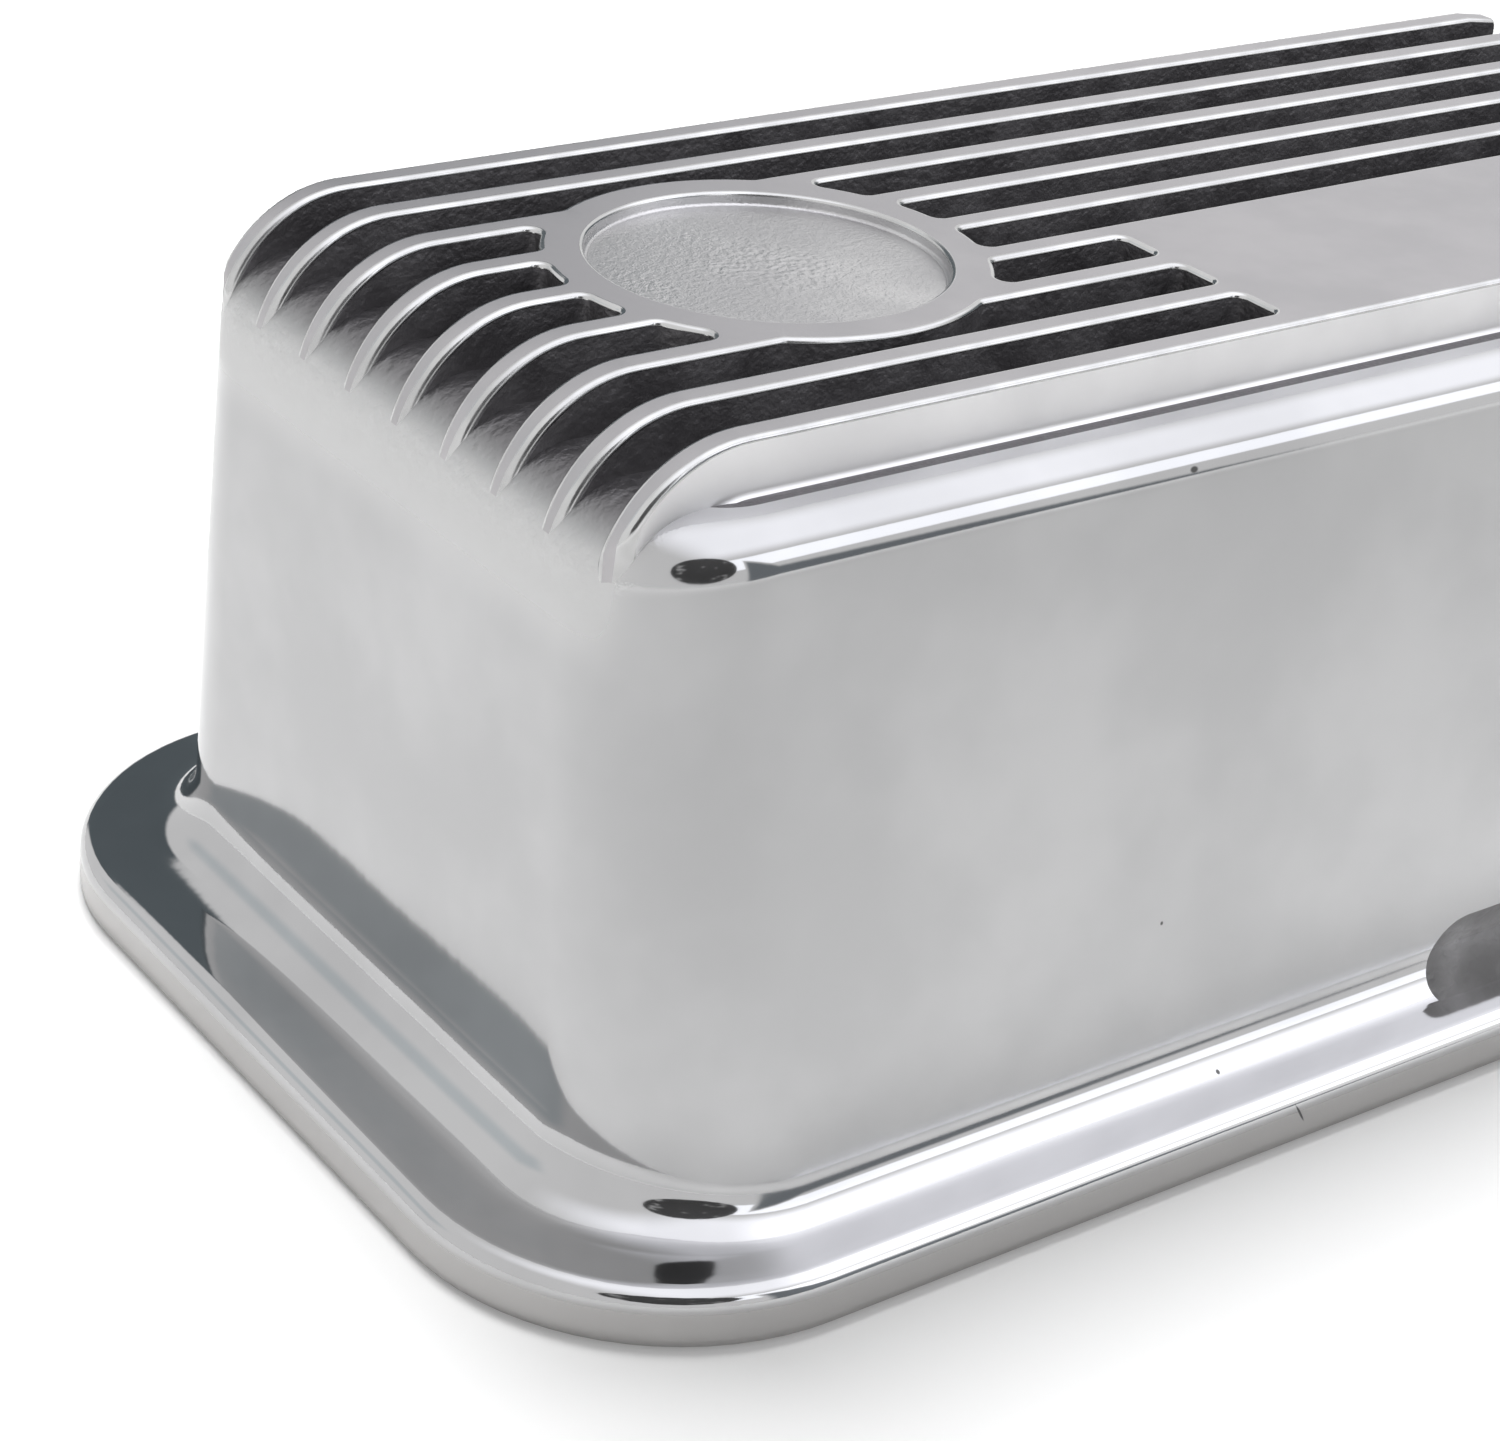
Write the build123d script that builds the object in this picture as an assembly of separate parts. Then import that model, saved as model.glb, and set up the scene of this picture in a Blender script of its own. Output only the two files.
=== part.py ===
"""Cast aluminium engine valve cover: a tall open-bottomed box on a bolted flange, with nine roof fins.

Lengths are millimetres and angles degrees. The origin is the centre of the gasket face, with +X along
the cover, +Y across it towards the back, and +Z up, away from the cylinder head.
"""

from build123d import *

import math
import os

LEVEL_TOLERANCE = 1e-4  # edges this close to a height count as lying at it

# Overall sizes
LENGTH = 520.0  # flange, end to end
HEIGHT = 102.0  # gasket face to fin tops

# Fins
FIN_COUNT = 9
FIN_PITCH = 11.4
FIN_THICKNESS = 3.8
FIN_HEIGHT = 7.5  # above the roof, which is also the floor of the grooves
FIN_END_RADIUS = 19.0  # quarter round from the fin top down to the end wall
FIN_EDGE_RADIUS = 0.8
FIN_SETBACK = 0.05  # fin ends behind the face of the end wall
GROOVE_CORNER_RADIUS = 1.6  # in plan, where a groove stops at a ring or the pad

# Body
SHOULDER_RADIUS = 7.0  # rounding along the top of the walls
SHOULDER_LEDGE = 1.0  # flat between an outer fin and the rounding
SIDE_DRAFT = 7.0
END_DRAFT = 0.8
BODY_CORNER_RADIUS = 17.0  # in plan, at the roof
WALL_THICKNESS = 4.5
ROOF_THICKNESS = 5.0
CAVITY_TOP_RADIUS = 3.0

# Flange
FLANGE_THICKNESS = 7.5
FLANGE_CORNER_RADIUS = 36.5
FLANGE_EDGE_RADIUS = 2.5
SIDE_LEDGE = 10.7  # foot of a side wall to the flange edge
END_LEDGE = 17.2  # foot of an end wall to the flange edge
FOOT_FILLET = 6.5  # between the walls and the flange
FOOT_MARGIN = 1.0  # least flat left between the foot of the walls and the rounded flange edge

# Round badge recesses, one near each end
RING_INSET = 73.3  # flange end to the centre of the ring
RING_RADIUS = 29.0
RECESS_RADIUS = 23.4
RECESS_DEPTH = 1.8

# Bare name pad, level with the fin tops
PAD_INSET = 121.0  # flange end to the pad
PAD_FIRST_FIN = 6  # counted from the back
PAD_LAST_FIN = 9

# Break in the rearmost fin, half way along
FIN_BREAK = 14.0
FIN_BREAK_RADIUS = 3.0  # upper corners of the fin at the break

# Bolts
BOLT_INSET = 172.0  # flange end to the bolts
BOLT_EDGE = 8.0  # flange side to the bolts
BOLT_HOLE_RADIUS = 3.4
POCKET_RADIUS = 9.5  # scoop in the foot of the wall for the bolt head
POCKET_SPAN = 36.0  # between the centres of its round ends
POCKET_WALL = 4.5  # metal between the scoop and the hollow

# Places worked out from the sizes above
ROOF_Z = HEIGHT - FIN_HEIGHT
FIN_FOOT_Z = HEIGHT - FIN_END_RADIUS
FIN_SPAN = (FIN_COUNT - 1) * FIN_PITCH + FIN_THICKNESS
ROOF_HALF_WIDTH = FIN_SPAN / 2 + SHOULDER_LEDGE + SHOULDER_RADIUS
SIDE_SLOPE = math.tan(math.radians(SIDE_DRAFT))
END_SLOPE = math.tan(math.radians(END_DRAFT))
FLANGE_HALF_WIDTH = ROOF_HALF_WIDTH + ROOF_Z * SIDE_SLOPE + SIDE_LEDGE
FLANGE_HALF_LENGTH = LENGTH / 2
ROOF_HALF_LENGTH = FLANGE_HALF_LENGTH - END_LEDGE - ROOF_Z * END_SLOPE
RING_X = FLANGE_HALF_LENGTH - RING_INSET
PAD_HALF_LENGTH = FLANGE_HALF_LENGTH - PAD_INSET
BOLT_X = FLANGE_HALF_LENGTH - BOLT_INSET
BOLT_Y = FLANGE_HALF_WIDTH - BOLT_EDGE


def fin_y(number):
    """Centre line of a fin, counted from the back."""
    return ((FIN_COUNT + 1) / 2 - number) * FIN_PITCH


def body_outline(z, inset=0.0):
    """Plan outline of the walls at a height, or of the hollow when inset by the wall."""
    drop = ROOF_Z - z
    half_length = ROOF_HALF_LENGTH + drop * END_SLOPE - inset
    half_width = ROOF_HALF_WIDTH + drop * SIDE_SLOPE - inset
    corner = BODY_CORNER_RADIUS + drop * (SIDE_SLOPE + END_SLOPE) / 2 - inset
    return Plane.XY.offset(z) * RectangleRounded(2 * half_length, 2 * half_width, corner)


def tapered(bottom_z, top_z, inset=0.0):
    """Solid between the wall outlines at two heights."""
    return loft([body_outline(bottom_z, inset), body_outline(top_z, inset)], ruled=True)


def at_height(shape, z):
    """Edges of a shape that lie flat at one height."""
    return shape.edges().filter_by_position(Axis.Z, z - LEVEL_TOLERANCE, z + LEVEL_TOLERANCE)


def outer_shell():
    """Flange and walls, solid inside, with the shoulder and the foot fillet."""
    body = tapered(0, ROOF_Z)
    body = fillet(at_height(body, ROOF_Z), SHOULDER_RADIUS)
    flange = extrude(
        RectangleRounded(2 * FLANGE_HALF_LENGTH, 2 * FLANGE_HALF_WIDTH, FLANGE_CORNER_RADIUS),
        FLANGE_THICKNESS,
    )
    flange = fillet(at_height(flange, FLANGE_THICKNESS), FLANGE_EDGE_RADIUS)
    shell = body + flange
    rim = FLANGE_EDGE_RADIUS + FOOT_MARGIN
    foot = [
        edge
        for edge in at_height(shell, FLANGE_THICKNESS)
        if abs(edge.center().X) < FLANGE_HALF_LENGTH - rim
        and abs(edge.center().Y) < FLANGE_HALF_WIDTH - rim
    ]
    return fillet(foot, FOOT_FILLET)


def fin(number):
    """One fin, flush with the end walls and rounded down to them at both ends."""
    half_length = ROOF_HALF_LENGTH + (ROOF_Z - FIN_FOOT_Z) * END_SLOPE - FIN_SETBACK
    flat = half_length - FIN_END_RADIUS
    bottom = Edge.make_line((half_length, 0, FIN_FOOT_Z), (-half_length, 0, FIN_FOOT_Z))
    left = Edge.make_tangent_arc((-half_length, 0, FIN_FOOT_Z), (0, 0, 1), (-flat, 0, HEIGHT))
    top = Edge.make_line((-flat, 0, HEIGHT), (flat, 0, HEIGHT))
    right = Edge.make_tangent_arc((flat, 0, HEIGHT), (1, 0, 0), (half_length, 0, FIN_FOOT_Z))
    side_view = Face(Wire([bottom, left, top, right]))
    blade = extrude(side_view, FIN_THICKNESS / 2, dir=(0, 1, 0), both=True)
    return Pos(0, fin_y(number), 0) * blade


def broken(blade):
    """A fin parted half way along, with the upper corners at the break rounded."""
    blade -= Pos(0, fin_y(1), HEIGHT) * Box(FIN_BREAK, FIN_PITCH, 2 * FIN_END_RADIUS)
    corners = at_height(blade, HEIGHT).filter_by(Axis.Y).filter_by_position(Axis.X, -FIN_BREAK, FIN_BREAK)
    return fillet(corners, FIN_BREAK_RADIUS)


def ring(side):
    """Round boss that becomes a ring once its recess is sunk."""
    return Pos(side * RING_X, 0, FIN_FOOT_Z) * extrude(Circle(RING_RADIUS), FIN_END_RADIUS)


def pad():
    """Bare pad that bridges several fins."""
    back_y = fin_y(PAD_FIRST_FIN) + FIN_THICKNESS / 2
    front_y = fin_y(PAD_LAST_FIN) - FIN_THICKNESS / 2
    plan = Pos(0, (back_y + front_y) / 2) * Rectangle(2 * PAD_HALF_LENGTH, back_y - front_y)
    return Pos(0, 0, FIN_FOOT_Z) * extrude(plan, FIN_END_RADIUS)


def raised_pattern():
    """Fins, rings and pad in one piece, all level at the top, with their upper edges rounded."""
    fins = [fin(number) for number in range(1, FIN_COUNT + 1)]
    fins[0] = broken(fins[0])
    pattern = Part() + fins + [ring(side) for side in (-1, 1)] + pad()
    inner_corners = [
        edge
        for edge in pattern.edges().filter_by(Axis.Z)
        if FIN_BREAK < abs(edge.center().X) < ROOF_HALF_LENGTH - FIN_END_RADIUS
    ]
    pattern = fillet(inner_corners, GROOVE_CORNER_RADIUS)
    return fillet(at_height(pattern, HEIGHT), FIN_EDGE_RADIUS)


def recess(side):
    """Round sinking in one ring."""
    sink = Cylinder(RECESS_RADIUS, 2 * RECESS_DEPTH)
    return Pos(side * RING_X, 0, HEIGHT) * sink


def bolt_places():
    """Centres of the four bolts on the gasket face."""
    return [(x, y) for x in (-BOLT_X, BOLT_X) for y in (-BOLT_Y, BOLT_Y)]


def scoop(x, y, radius):
    """Upper half of a round bar with ball ends, lying along the wall on the flange."""
    bar = Rot(0, 90, 0) * Cylinder(radius, POCKET_SPAN)
    for side in (-1, 1):
        bar += Pos(side * POCKET_SPAN / 2, 0, 0) * Sphere(radius)
    cover = Box(POCKET_SPAN + 4 * radius, 4 * radius, 2 * radius, align=(Align.CENTER, Align.CENTER, Align.MIN))
    return Pos(x, y, FLANGE_THICKNESS) * (bar & cover)


def boss(x, y):
    """Metal kept round a scoop, carried straight down past the gasket face."""
    radius = POCKET_RADIUS + POCKET_WALL
    column = extrude(SlotCenterToCenter(POCKET_SPAN, 2 * radius), 2 * FLANGE_THICKNESS)
    return scoop(x, y, radius) + Pos(x, y, -FLANGE_THICKNESS) * column


def cavity():
    """Hollow under the roof, open at the gasket face and stepped in round each bolt pocket."""
    hollow = tapered(0, ROOF_Z - ROOF_THICKNESS, WALL_THICKNESS)
    hollow = fillet(at_height(hollow, ROOF_Z - ROOF_THICKNESS), CAVITY_TOP_RADIUS)
    for x, y in bolt_places():
        hollow -= boss(x, y)
    return hollow


def valve_cover():
    """The whole casting."""
    corner_trim = tapered(0, HEIGHT, FIN_SETBACK)
    casting = outer_shell() + (raised_pattern() & corner_trim)
    for side in (-1, 1):
        casting -= recess(side)
    for x, y in bolt_places():
        casting -= scoop(x, y, POCKET_RADIUS)
        casting -= Pos(x, y) * Cylinder(BOLT_HOLE_RADIUS, 4 * FLANGE_THICKNESS)
    return casting - cavity()


os.makedirs("parts", exist_ok=True)
casting = valve_cover()
export_step(casting, "parts/valve_cover_casting.step")
print("volume", casting.volume, "valid", casting.is_valid, "solids", len(casting.solids()))
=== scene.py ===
# %% [markdown]
# # A polished engine valve cover
# The part is one aluminium casting: a tall box on a bolted flange, with fins on its roof, a round badge
# recess near each end and a bare name pad. It could be dressed by colouring the CAD mesh, but polished metal
# shows every facet, so the outside is rebuilt here from smooth rows of points on the CAD's own sizes.

# %% Load the frame and keep its box
import math

import bmesh
import bpy
import numpy as np
from mathutils import Matrix, Vector, geometry


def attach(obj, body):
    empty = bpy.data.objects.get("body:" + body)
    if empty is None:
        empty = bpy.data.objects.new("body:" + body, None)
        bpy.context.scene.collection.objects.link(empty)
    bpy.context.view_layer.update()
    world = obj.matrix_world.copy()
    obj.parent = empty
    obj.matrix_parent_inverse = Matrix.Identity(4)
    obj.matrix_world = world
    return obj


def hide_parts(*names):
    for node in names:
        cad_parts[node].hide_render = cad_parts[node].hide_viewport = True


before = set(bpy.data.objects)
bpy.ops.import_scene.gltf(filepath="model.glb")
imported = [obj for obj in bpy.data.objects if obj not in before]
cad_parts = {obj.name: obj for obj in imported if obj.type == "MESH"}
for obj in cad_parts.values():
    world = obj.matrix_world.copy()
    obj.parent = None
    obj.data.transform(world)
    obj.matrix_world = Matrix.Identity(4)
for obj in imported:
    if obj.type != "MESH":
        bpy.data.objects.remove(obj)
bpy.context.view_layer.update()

# %% [markdown]
# ## Sizes
# Lengths below are millimetres, because that is how a casting is drawn. One function turns a finished list
# of points into a mesh in metres, so nothing else has to think about units. The names are the ones that a
# pattern maker would use: the roof is the floor of the grooves, and the fins stand on it.

# %% Sizes of the casting
MM = 0.001
LENGTH, WIDTH, HEIGHT = 520.0, 155.606, 102.0
FIN_COUNT, FIN_PITCH, FIN_THICKNESS, FIN_HEIGHT = 9, 11.4, 3.8, 7.5
FIN_END_RADIUS = 19.0
ROOF_Z = HEIGHT - FIN_HEIGHT
ROOF_HALF_LENGTH, ROOF_HALF_WIDTH = 241.48, 55.5
SIDE_DRAFT, END_DRAFT = math.radians(7.0), math.radians(0.8)
BODY_CORNER = 17.0
SHOULDER_SIDE, SHOULDER_END = 7.0, 10.0
FOOT_SIDE, FOOT_END = 5.8, 8.5
FLANGE_Z, FLANGE_CORNER, FLANGE_EDGE = 7.5, 36.5, 2.5
WALL, ROOF_THICKNESS, CAVITY_EDGE = 4.5, 5.0, 3.0
RING_X, RING_RADIUS, RECESS_RADIUS, RECESS_DEPTH = 186.7, 29.0, 23.4, 1.8
PAD_X = 139.0
BREAK_X, BREAK_RADIUS = 7.0, 3.0
BOLT_X, BOLT_Y, BOLT_RADIUS = 88.0, 69.803, 3.4
POCKET_RADIUS, POCKET_SPAN, POCKET_WALL = 9.5, 36.0, 4.5


def fin_y(number):
    return ((FIN_COUNT + 1) / 2 - number) * FIN_PITCH


def wall_outline(z):
    """Half length, half width and corner radius of the walls at a height."""
    drop = ROOF_Z - z
    half_length = ROOF_HALF_LENGTH + drop * math.tan(END_DRAFT)
    half_width = ROOF_HALF_WIDTH + drop * math.tan(SIDE_DRAFT)
    return half_length, half_width, BODY_CORNER + drop * (math.tan(SIDE_DRAFT) + math.tan(END_DRAFT)) / 2


print("walls at the flange", [round(v, 2) for v in wall_outline(FLANGE_Z)])

# %% [markdown]
# ## The box
# The flange, the foot fillet, the walls and the shoulder all follow one rounded rectangle that changes size
# with height. So the skin is a stack of rounded rectangles, each with the same number of points, and faces
# join each row to the next. The ends have larger fillets than the sides, so a point's height depends on
# which way it faces. A second stack is the hollow, which is cut out later.

# %% One row of points
LONG_STEPS, SHORT_STEPS, CORNER_STEPS = 56, 16, 18


def outline(half_length, half_width, corner, z_side, z_end):
    """One row: a rounded rectangle whose sides and ends may lie at different heights."""
    points = []

    def add(x, y, nx, ny):
        points.append((x, y, z_side * ny * ny + z_end * nx * nx))

    cx, cy = half_length - corner, half_width - corner
    for quarter, (sx, sy) in enumerate(((1, 1), (-1, 1), (-1, -1), (1, -1))):
        for step in range(CORNER_STEPS + 1):
            angle = math.radians(90 * (quarter + step / CORNER_STEPS))
            nx, ny = math.cos(angle), math.sin(angle)
            add(sx * cx + corner * nx, sy * cy + corner * ny, nx, ny)
        along = quarter % 2 == 0
        steps = LONG_STEPS if along else SHORT_STEPS
        for step in range(1, steps):
            t = step / steps
            if along:
                add(sx * cx * (1 - 2 * t), sy * half_width, 0, sy)
            else:
                add(sx * half_length, sy * cy * (1 - 2 * t), sx, 0)
    return points


print("points in a row", len(outline(LENGTH / 2, WIDTH / 2, FLANGE_CORNER, 0.0, 0.0)))

# %% Rows of the flange's edge
LOW_EDGE = ((0.4, 0.0), (0.1, 0.15), (0.0, 0.5), (0.0, 2.0), (0.0, 3.8))  # inset and height, up the sawn side
FLANGE_STEPS = 8


def quarter(steps, first=0):
    """Angles that go round a quarter circle in equal steps, the last one included."""
    return [math.radians(90 * step / steps) for step in range(first, steps + 1)]


def flange_rows():
    rows = []
    half_length, half_width = LENGTH / 2, WIDTH / 2
    side_z = FLANGE_Z - FLANGE_EDGE
    for inset, z in LOW_EDGE:
        rows.append((half_length - inset, half_width - inset, FLANGE_CORNER - inset, z, z))
    for turn in quarter(FLANGE_STEPS):
        inset, z = FLANGE_EDGE * (1 - math.cos(turn)), side_z + FLANGE_EDGE * math.sin(turn)
        rows.append((half_length - inset, half_width - inset, FLANGE_CORNER - inset, z, z))
    return rows


print("rows of the flange", len(flange_rows()))

# %% [markdown]
# The foot is a hollow round and the shoulder a full one. Both could be arcs of one radius, but the ends are
# rounder than the sides, so each row works out its side and its end by themselves. The angle is that of the
# wall's own slope at one end of the arc and flat at the other, so the rounds meet the walls without an edge.

# %% Rows of the foot
FOOT_ARC_STEPS = 16


def foot_rows():
    foot = []
    for step in range(FOOT_ARC_STEPS + 1):
        share = step / FOOT_ARC_STEPS
        side = math.pi / 2 - share * (math.pi / 2 - SIDE_DRAFT)
        end = math.pi / 2 - share * (math.pi / 2 - END_DRAFT)
        side_c, end_c = FLANGE_Z + FOOT_SIDE, FLANGE_Z + FOOT_END
        a = wall_outline(end_c)[0] + FOOT_END / math.cos(END_DRAFT) - FOOT_END * math.cos(end)
        b = wall_outline(side_c)[1] + FOOT_SIDE / math.cos(SIDE_DRAFT) - FOOT_SIDE * math.cos(side)
        out = (FOOT_SIDE + FOOT_END) / 2 * (1 - math.cos((side + end) / 2))
        corner = wall_outline(end_c)[2] + out
        foot.append((a, b, corner, side_c - FOOT_SIDE * math.sin(side), end_c - FOOT_END * math.sin(end)))
    return foot


print("rows of the foot", len(foot_rows()))

# %% Rows of the shoulder
SHOULDER_STEPS = 18


def shoulder_rows():
    roll = []
    for step in range(SHOULDER_STEPS + 1):
        share = step / SHOULDER_STEPS
        side = SIDE_DRAFT + share * (math.pi / 2 - SIDE_DRAFT)
        end = END_DRAFT + share * (math.pi / 2 - END_DRAFT)
        side_c, end_c = ROOF_Z - SHOULDER_SIDE, ROOF_Z - SHOULDER_END
        a = wall_outline(end_c)[0] - SHOULDER_END / math.cos(END_DRAFT) + SHOULDER_END * math.cos(end)
        b = wall_outline(side_c)[1] - SHOULDER_SIDE / math.cos(SIDE_DRAFT) + SHOULDER_SIDE * math.cos(side)
        back = (SHOULDER_SIDE + SHOULDER_END) / 2 * (1 - math.cos((side + end) / 2))
        corner = wall_outline(end_c)[2] - back
        roll.append((a, b, corner, side_c + SHOULDER_SIDE * math.sin(side), end_c + SHOULDER_END * math.sin(end)))
    return roll


print("rows of the shoulder", len(shoulder_rows()))

# %% All rows of the outside
WALL_STEPS = 16


def outside_rows():
    """Flange, two rows across its top, foot, walls and shoulder, from the gasket face up."""
    rows, foot, roll = flange_rows(), foot_rows(), shoulder_rows()
    inner, first = rows[-1], foot[0]
    for near, far in ((0.67, 0.33), (0.33, 0.67)):
        rows.append(tuple(near * p + far * q for p, q in zip(inner, first)))
    rows += foot
    low, high = rows[-1], roll[0]
    for step in range(1, WALL_STEPS):
        rows.append(tuple(p + (q - p) * step / WALL_STEPS for p, q in zip(low, high)))
    return rows + roll


print("rows of the outside", len(outside_rows()))

# %% Rows of the hollow
CAVITY_STEPS, CAVITY_ARC_STEPS = 10, 8


def inside_rows():
    """The hollow, from the gasket face up to the underside of the roof."""
    rows = []
    top = ROOF_Z - ROOF_THICKNESS
    for step in range(-1, CAVITY_STEPS + 1):
        z = step / CAVITY_STEPS * (top - CAVITY_EDGE)
        a, b, corner = wall_outline(z)
        rows.append((a - WALL, b - WALL, corner - WALL, z, z))
    a, b, corner, _, _ = rows[-1]
    for turn in quarter(CAVITY_ARC_STEPS, 1):
        inset = CAVITY_EDGE * (1 - math.cos(turn))
        z = top - CAVITY_EDGE * (1 - math.sin(turn))
        rows.append((a - inset, b - inset, corner - inset, z, z))
    return rows


print("rows of the hollow", len(inside_rows()))

# %% [markdown]
# Points and faces become a mesh in one place only. It counts the edges that don't have exactly two faces, so
# that a gap in any piece is told at once, and it lets Blender turn all faces outwards.

# %% From points to a mesh


def mesh_object(name, points, faces, slots=None):
    """A finished piece at the origin, in metres, with its faces turned outwards."""
    mesh = bpy.data.meshes.new(name)
    mesh.from_pydata([Vector(p) * MM for p in points], [], faces)
    if slots is not None:
        mesh.polygons.foreach_set("material_index", slots)
    work = bmesh.new()
    work.from_mesh(mesh)
    bmesh.ops.recalc_face_normals(work, faces=work.faces)
    open_edges = sum(not edge.is_manifold for edge in work.edges)
    work.to_mesh(mesh)
    work.free()
    piece = bpy.data.objects.new(name, mesh)
    bpy.context.scene.collection.objects.link(piece)
    print(name, "points", len(points), "faces", len(faces), "open edges", open_edges)
    return piece


def settle(piece, modifier):
    """Makes what a modifier shows the piece's own plain mesh, and takes the modifier off."""
    settled = bpy.data.meshes.new_from_object(piece.evaluated_get(bpy.context.evaluated_depsgraph_get()))
    piece.modifiers.remove(modifier)
    piece.data = settled


print("mesh helpers ready")

# %% The box and its hollow


def tube_faces(around, levels):
    """Faces between rows of points that lie one above the other, and a flat face at each end."""
    faces = []
    for level in range(levels - 1):
        for step in range(around):
            a, b = level * around + step, level * around + (step + 1) % around
            faces.append((a, b, b + around, a + around))
    faces.append(tuple(range(around))[::-1])
    faces.append(tuple(range((levels - 1) * around, levels * around)))
    return faces


def stacked(rows):
    """Points and faces of a stack of rounded rectangles."""
    points = [point for row in rows for point in outline(*row)]
    return points, tube_faces(len(points) // len(rows), len(rows))


# The second slot is the groove floor, which takes the groove finish with its painted shade.
OUTSIDE, CAST_AND_SHADE, INSIDE = 0, 1, 2  # material slots of the box
points, faces = stacked(outside_rows())
box = mesh_object("casting_box", points, faces, [OUTSIDE] * (len(faces) - 1) + [CAST_AND_SHADE])
points, faces = stacked(inside_rows())
hollow = mesh_object("hollow", points, faces, [INSIDE] * len(faces))

# %% [markdown]
# ## Bolt pockets
# Each bolt head sits in a low scoop that a ball-ended cutter, run along the wall, would leave in its foot,
# and the hollow steps in round it so that the wall keeps its thickness. Solids that overlap are simplest to
# cut with the Boolean modifier, so one slot-shaped tool with a domed top does both jobs, and a thin
# cylinder drills each hole. The faces that a tool leaves keep its material slot, so the pockets and the
# hollow can stay as cast while the outside is polished.

# %% Tools for the pockets
AROUND_TOOL, DOME_STEPS = 48, 16


def slot_tool(name, x, y, low_z, radius, span, dome_steps, slot):
    """Upright slot-shaped column up to the flange, with a half-round top when it has dome steps."""
    rows = [(radius, low_z)]
    for step in range(0 if low_z < FLANGE_Z else 1, dome_steps):
        turn = math.radians(90 * step / dome_steps)
        rows.append((radius * math.cos(turn), FLANGE_Z + radius * math.sin(turn)))
    if not dome_steps:
        rows.append((radius, 3 * FLANGE_Z))
    points = []
    for r, z in rows:
        for step in range(AROUND_TOOL):
            turn = math.radians(360 * (step + 0.5) / AROUND_TOOL)
            points.append((x + math.copysign(span / 2, math.cos(turn)) + r * math.cos(turn),
                           y + r * math.sin(turn), z))
    faces = tube_faces(AROUND_TOOL, len(rows))
    return mesh_object(name, points, faces, [slot] * (len(faces) - 2) + [OUTSIDE, slot])


print("pocket", POCKET_SPAN + 2 * POCKET_RADIUS, "mm long and", POCKET_RADIUS, "mm high")

# %% Cutting one solid with another


def carve(target, tool, operation):
    """Joins or cuts with another solid, then throws the tool away. New faces keep the tool's slot number."""
    change = target.modifiers.new("carve", "BOOLEAN")
    change.operation, change.object, change.solver = operation, tool, "EXACT"
    settle(target, change)
    bpy.data.objects.remove(tool)


for piece in (box, hollow):
    for _ in (OUTSIDE, CAST_AND_SHADE, INSIDE):
        piece.data.materials.append(None)
print("slots waiting for materials", len(box.data.materials))

# %% Cut the hollow, the pockets and the bolt holes
SEAT_GAP = 0.05  # the scoop stays this far above the flange, because faces in one plane cut badly
bolts = [(x, y) for x in (-BOLT_X, BOLT_X) for y in (-BOLT_Y, BOLT_Y)]
for x, y in bolts:
    boss = slot_tool("boss", x, y, -2 * FLANGE_Z, POCKET_RADIUS + POCKET_WALL, POCKET_SPAN, DOME_STEPS, INSIDE)
    carve(hollow, boss, "DIFFERENCE")
carve(box, hollow, "DIFFERENCE")
for x, y in bolts:
    scoop = slot_tool("scoop", x, y, FLANGE_Z + SEAT_GAP, POCKET_RADIUS, POCKET_SPAN, DOME_STEPS, INSIDE)
    carve(box, scoop, "DIFFERENCE")
    carve(box, slot_tool("drill", x, y, -FLANGE_Z, BOLT_RADIUS, 0.0, 0, INSIDE), "DIFFERENCE")
check = bmesh.new()
check.from_mesh(box.data)
print("box after the pockets:", len(check.faces), "faces,", sum(not e.is_manifold for e in check.edges), "open edges")
check.free()

# %% [markdown]
# ## The fin deck
# Fins, rings and pad are level at the top and stand straight up from the roof, so seen from above they are
# one flat pattern. Its outlines are drawn as chains of points, each with the direction that leads into the
# metal. Moving a chain along those directions gives every other height of the wall: in for the rounded top
# edge, out for the small fillet at the foot. At the ends of the cover the fins curl down a quarter circle,
# so the pattern is drawn flat and long, and then bent.

# %% Stations along the cover
FIN_SETBACK = 0.05  # fin ends behind the face of the end wall
FIN_END = ROOF_HALF_LENGTH + (FIN_END_RADIUS - FIN_HEIGHT) * math.tan(END_DRAFT) - FIN_SETBACK
FLAT_X = FIN_END - FIN_END_RADIUS
CURL = FIN_END_RADIUS * math.pi / 2
REACH = FLAT_X + CURL
INNER_CORNER, BREAK_CORNER = 1.6, 1.0
CURL_STEPS, MIDDLE_STEP = 20, 9.0
curl_stations = [FLAT_X + CURL * step / CURL_STEPS for step in range(CURL_STEPS + 1)]
middle_count = round(2 * FLAT_X / MIDDLE_STEP)
middle_stations = [-FLAT_X + 2 * FLAT_X * step / middle_count for step in range(1, middle_count)]
stations = sorted([-x for x in curl_stations] + middle_stations + curl_stations)
print("stations", len(stations), "over", round(2 * REACH, 1), "mm of fin, laid flat")

# %% Straight runs and arcs
CORNER_CLEARANCE = 0.6  # stations closer than this to a run's ends are left out


def straight(x0, x1, y, ny):
    """Points from x0 to x1 along a fin face, at the stations in between."""
    low, high = min(x0, x1), max(x0, x1)
    inner = [x for x in stations if low + CORNER_CLEARANCE < x < high - CORNER_CLEARANCE]
    xs = [low] + inner + [high]
    return [(x, y, 0.0, ny) for x in (xs if x1 > x0 else xs[::-1])]


def arc(cx, cy, radius, start, end, steps, into):
    """Points along an arc, ends included. into is 1 where the metal lies outside the arc, or -1 inside."""
    points = []
    for step in range(steps + 1):
        turn = start + (end - start) * step / steps
        nx, ny = math.cos(turn), math.sin(turn)
        points.append((cx + radius * nx, cy + radius * ny, into * nx, into * ny))
    return points


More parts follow.
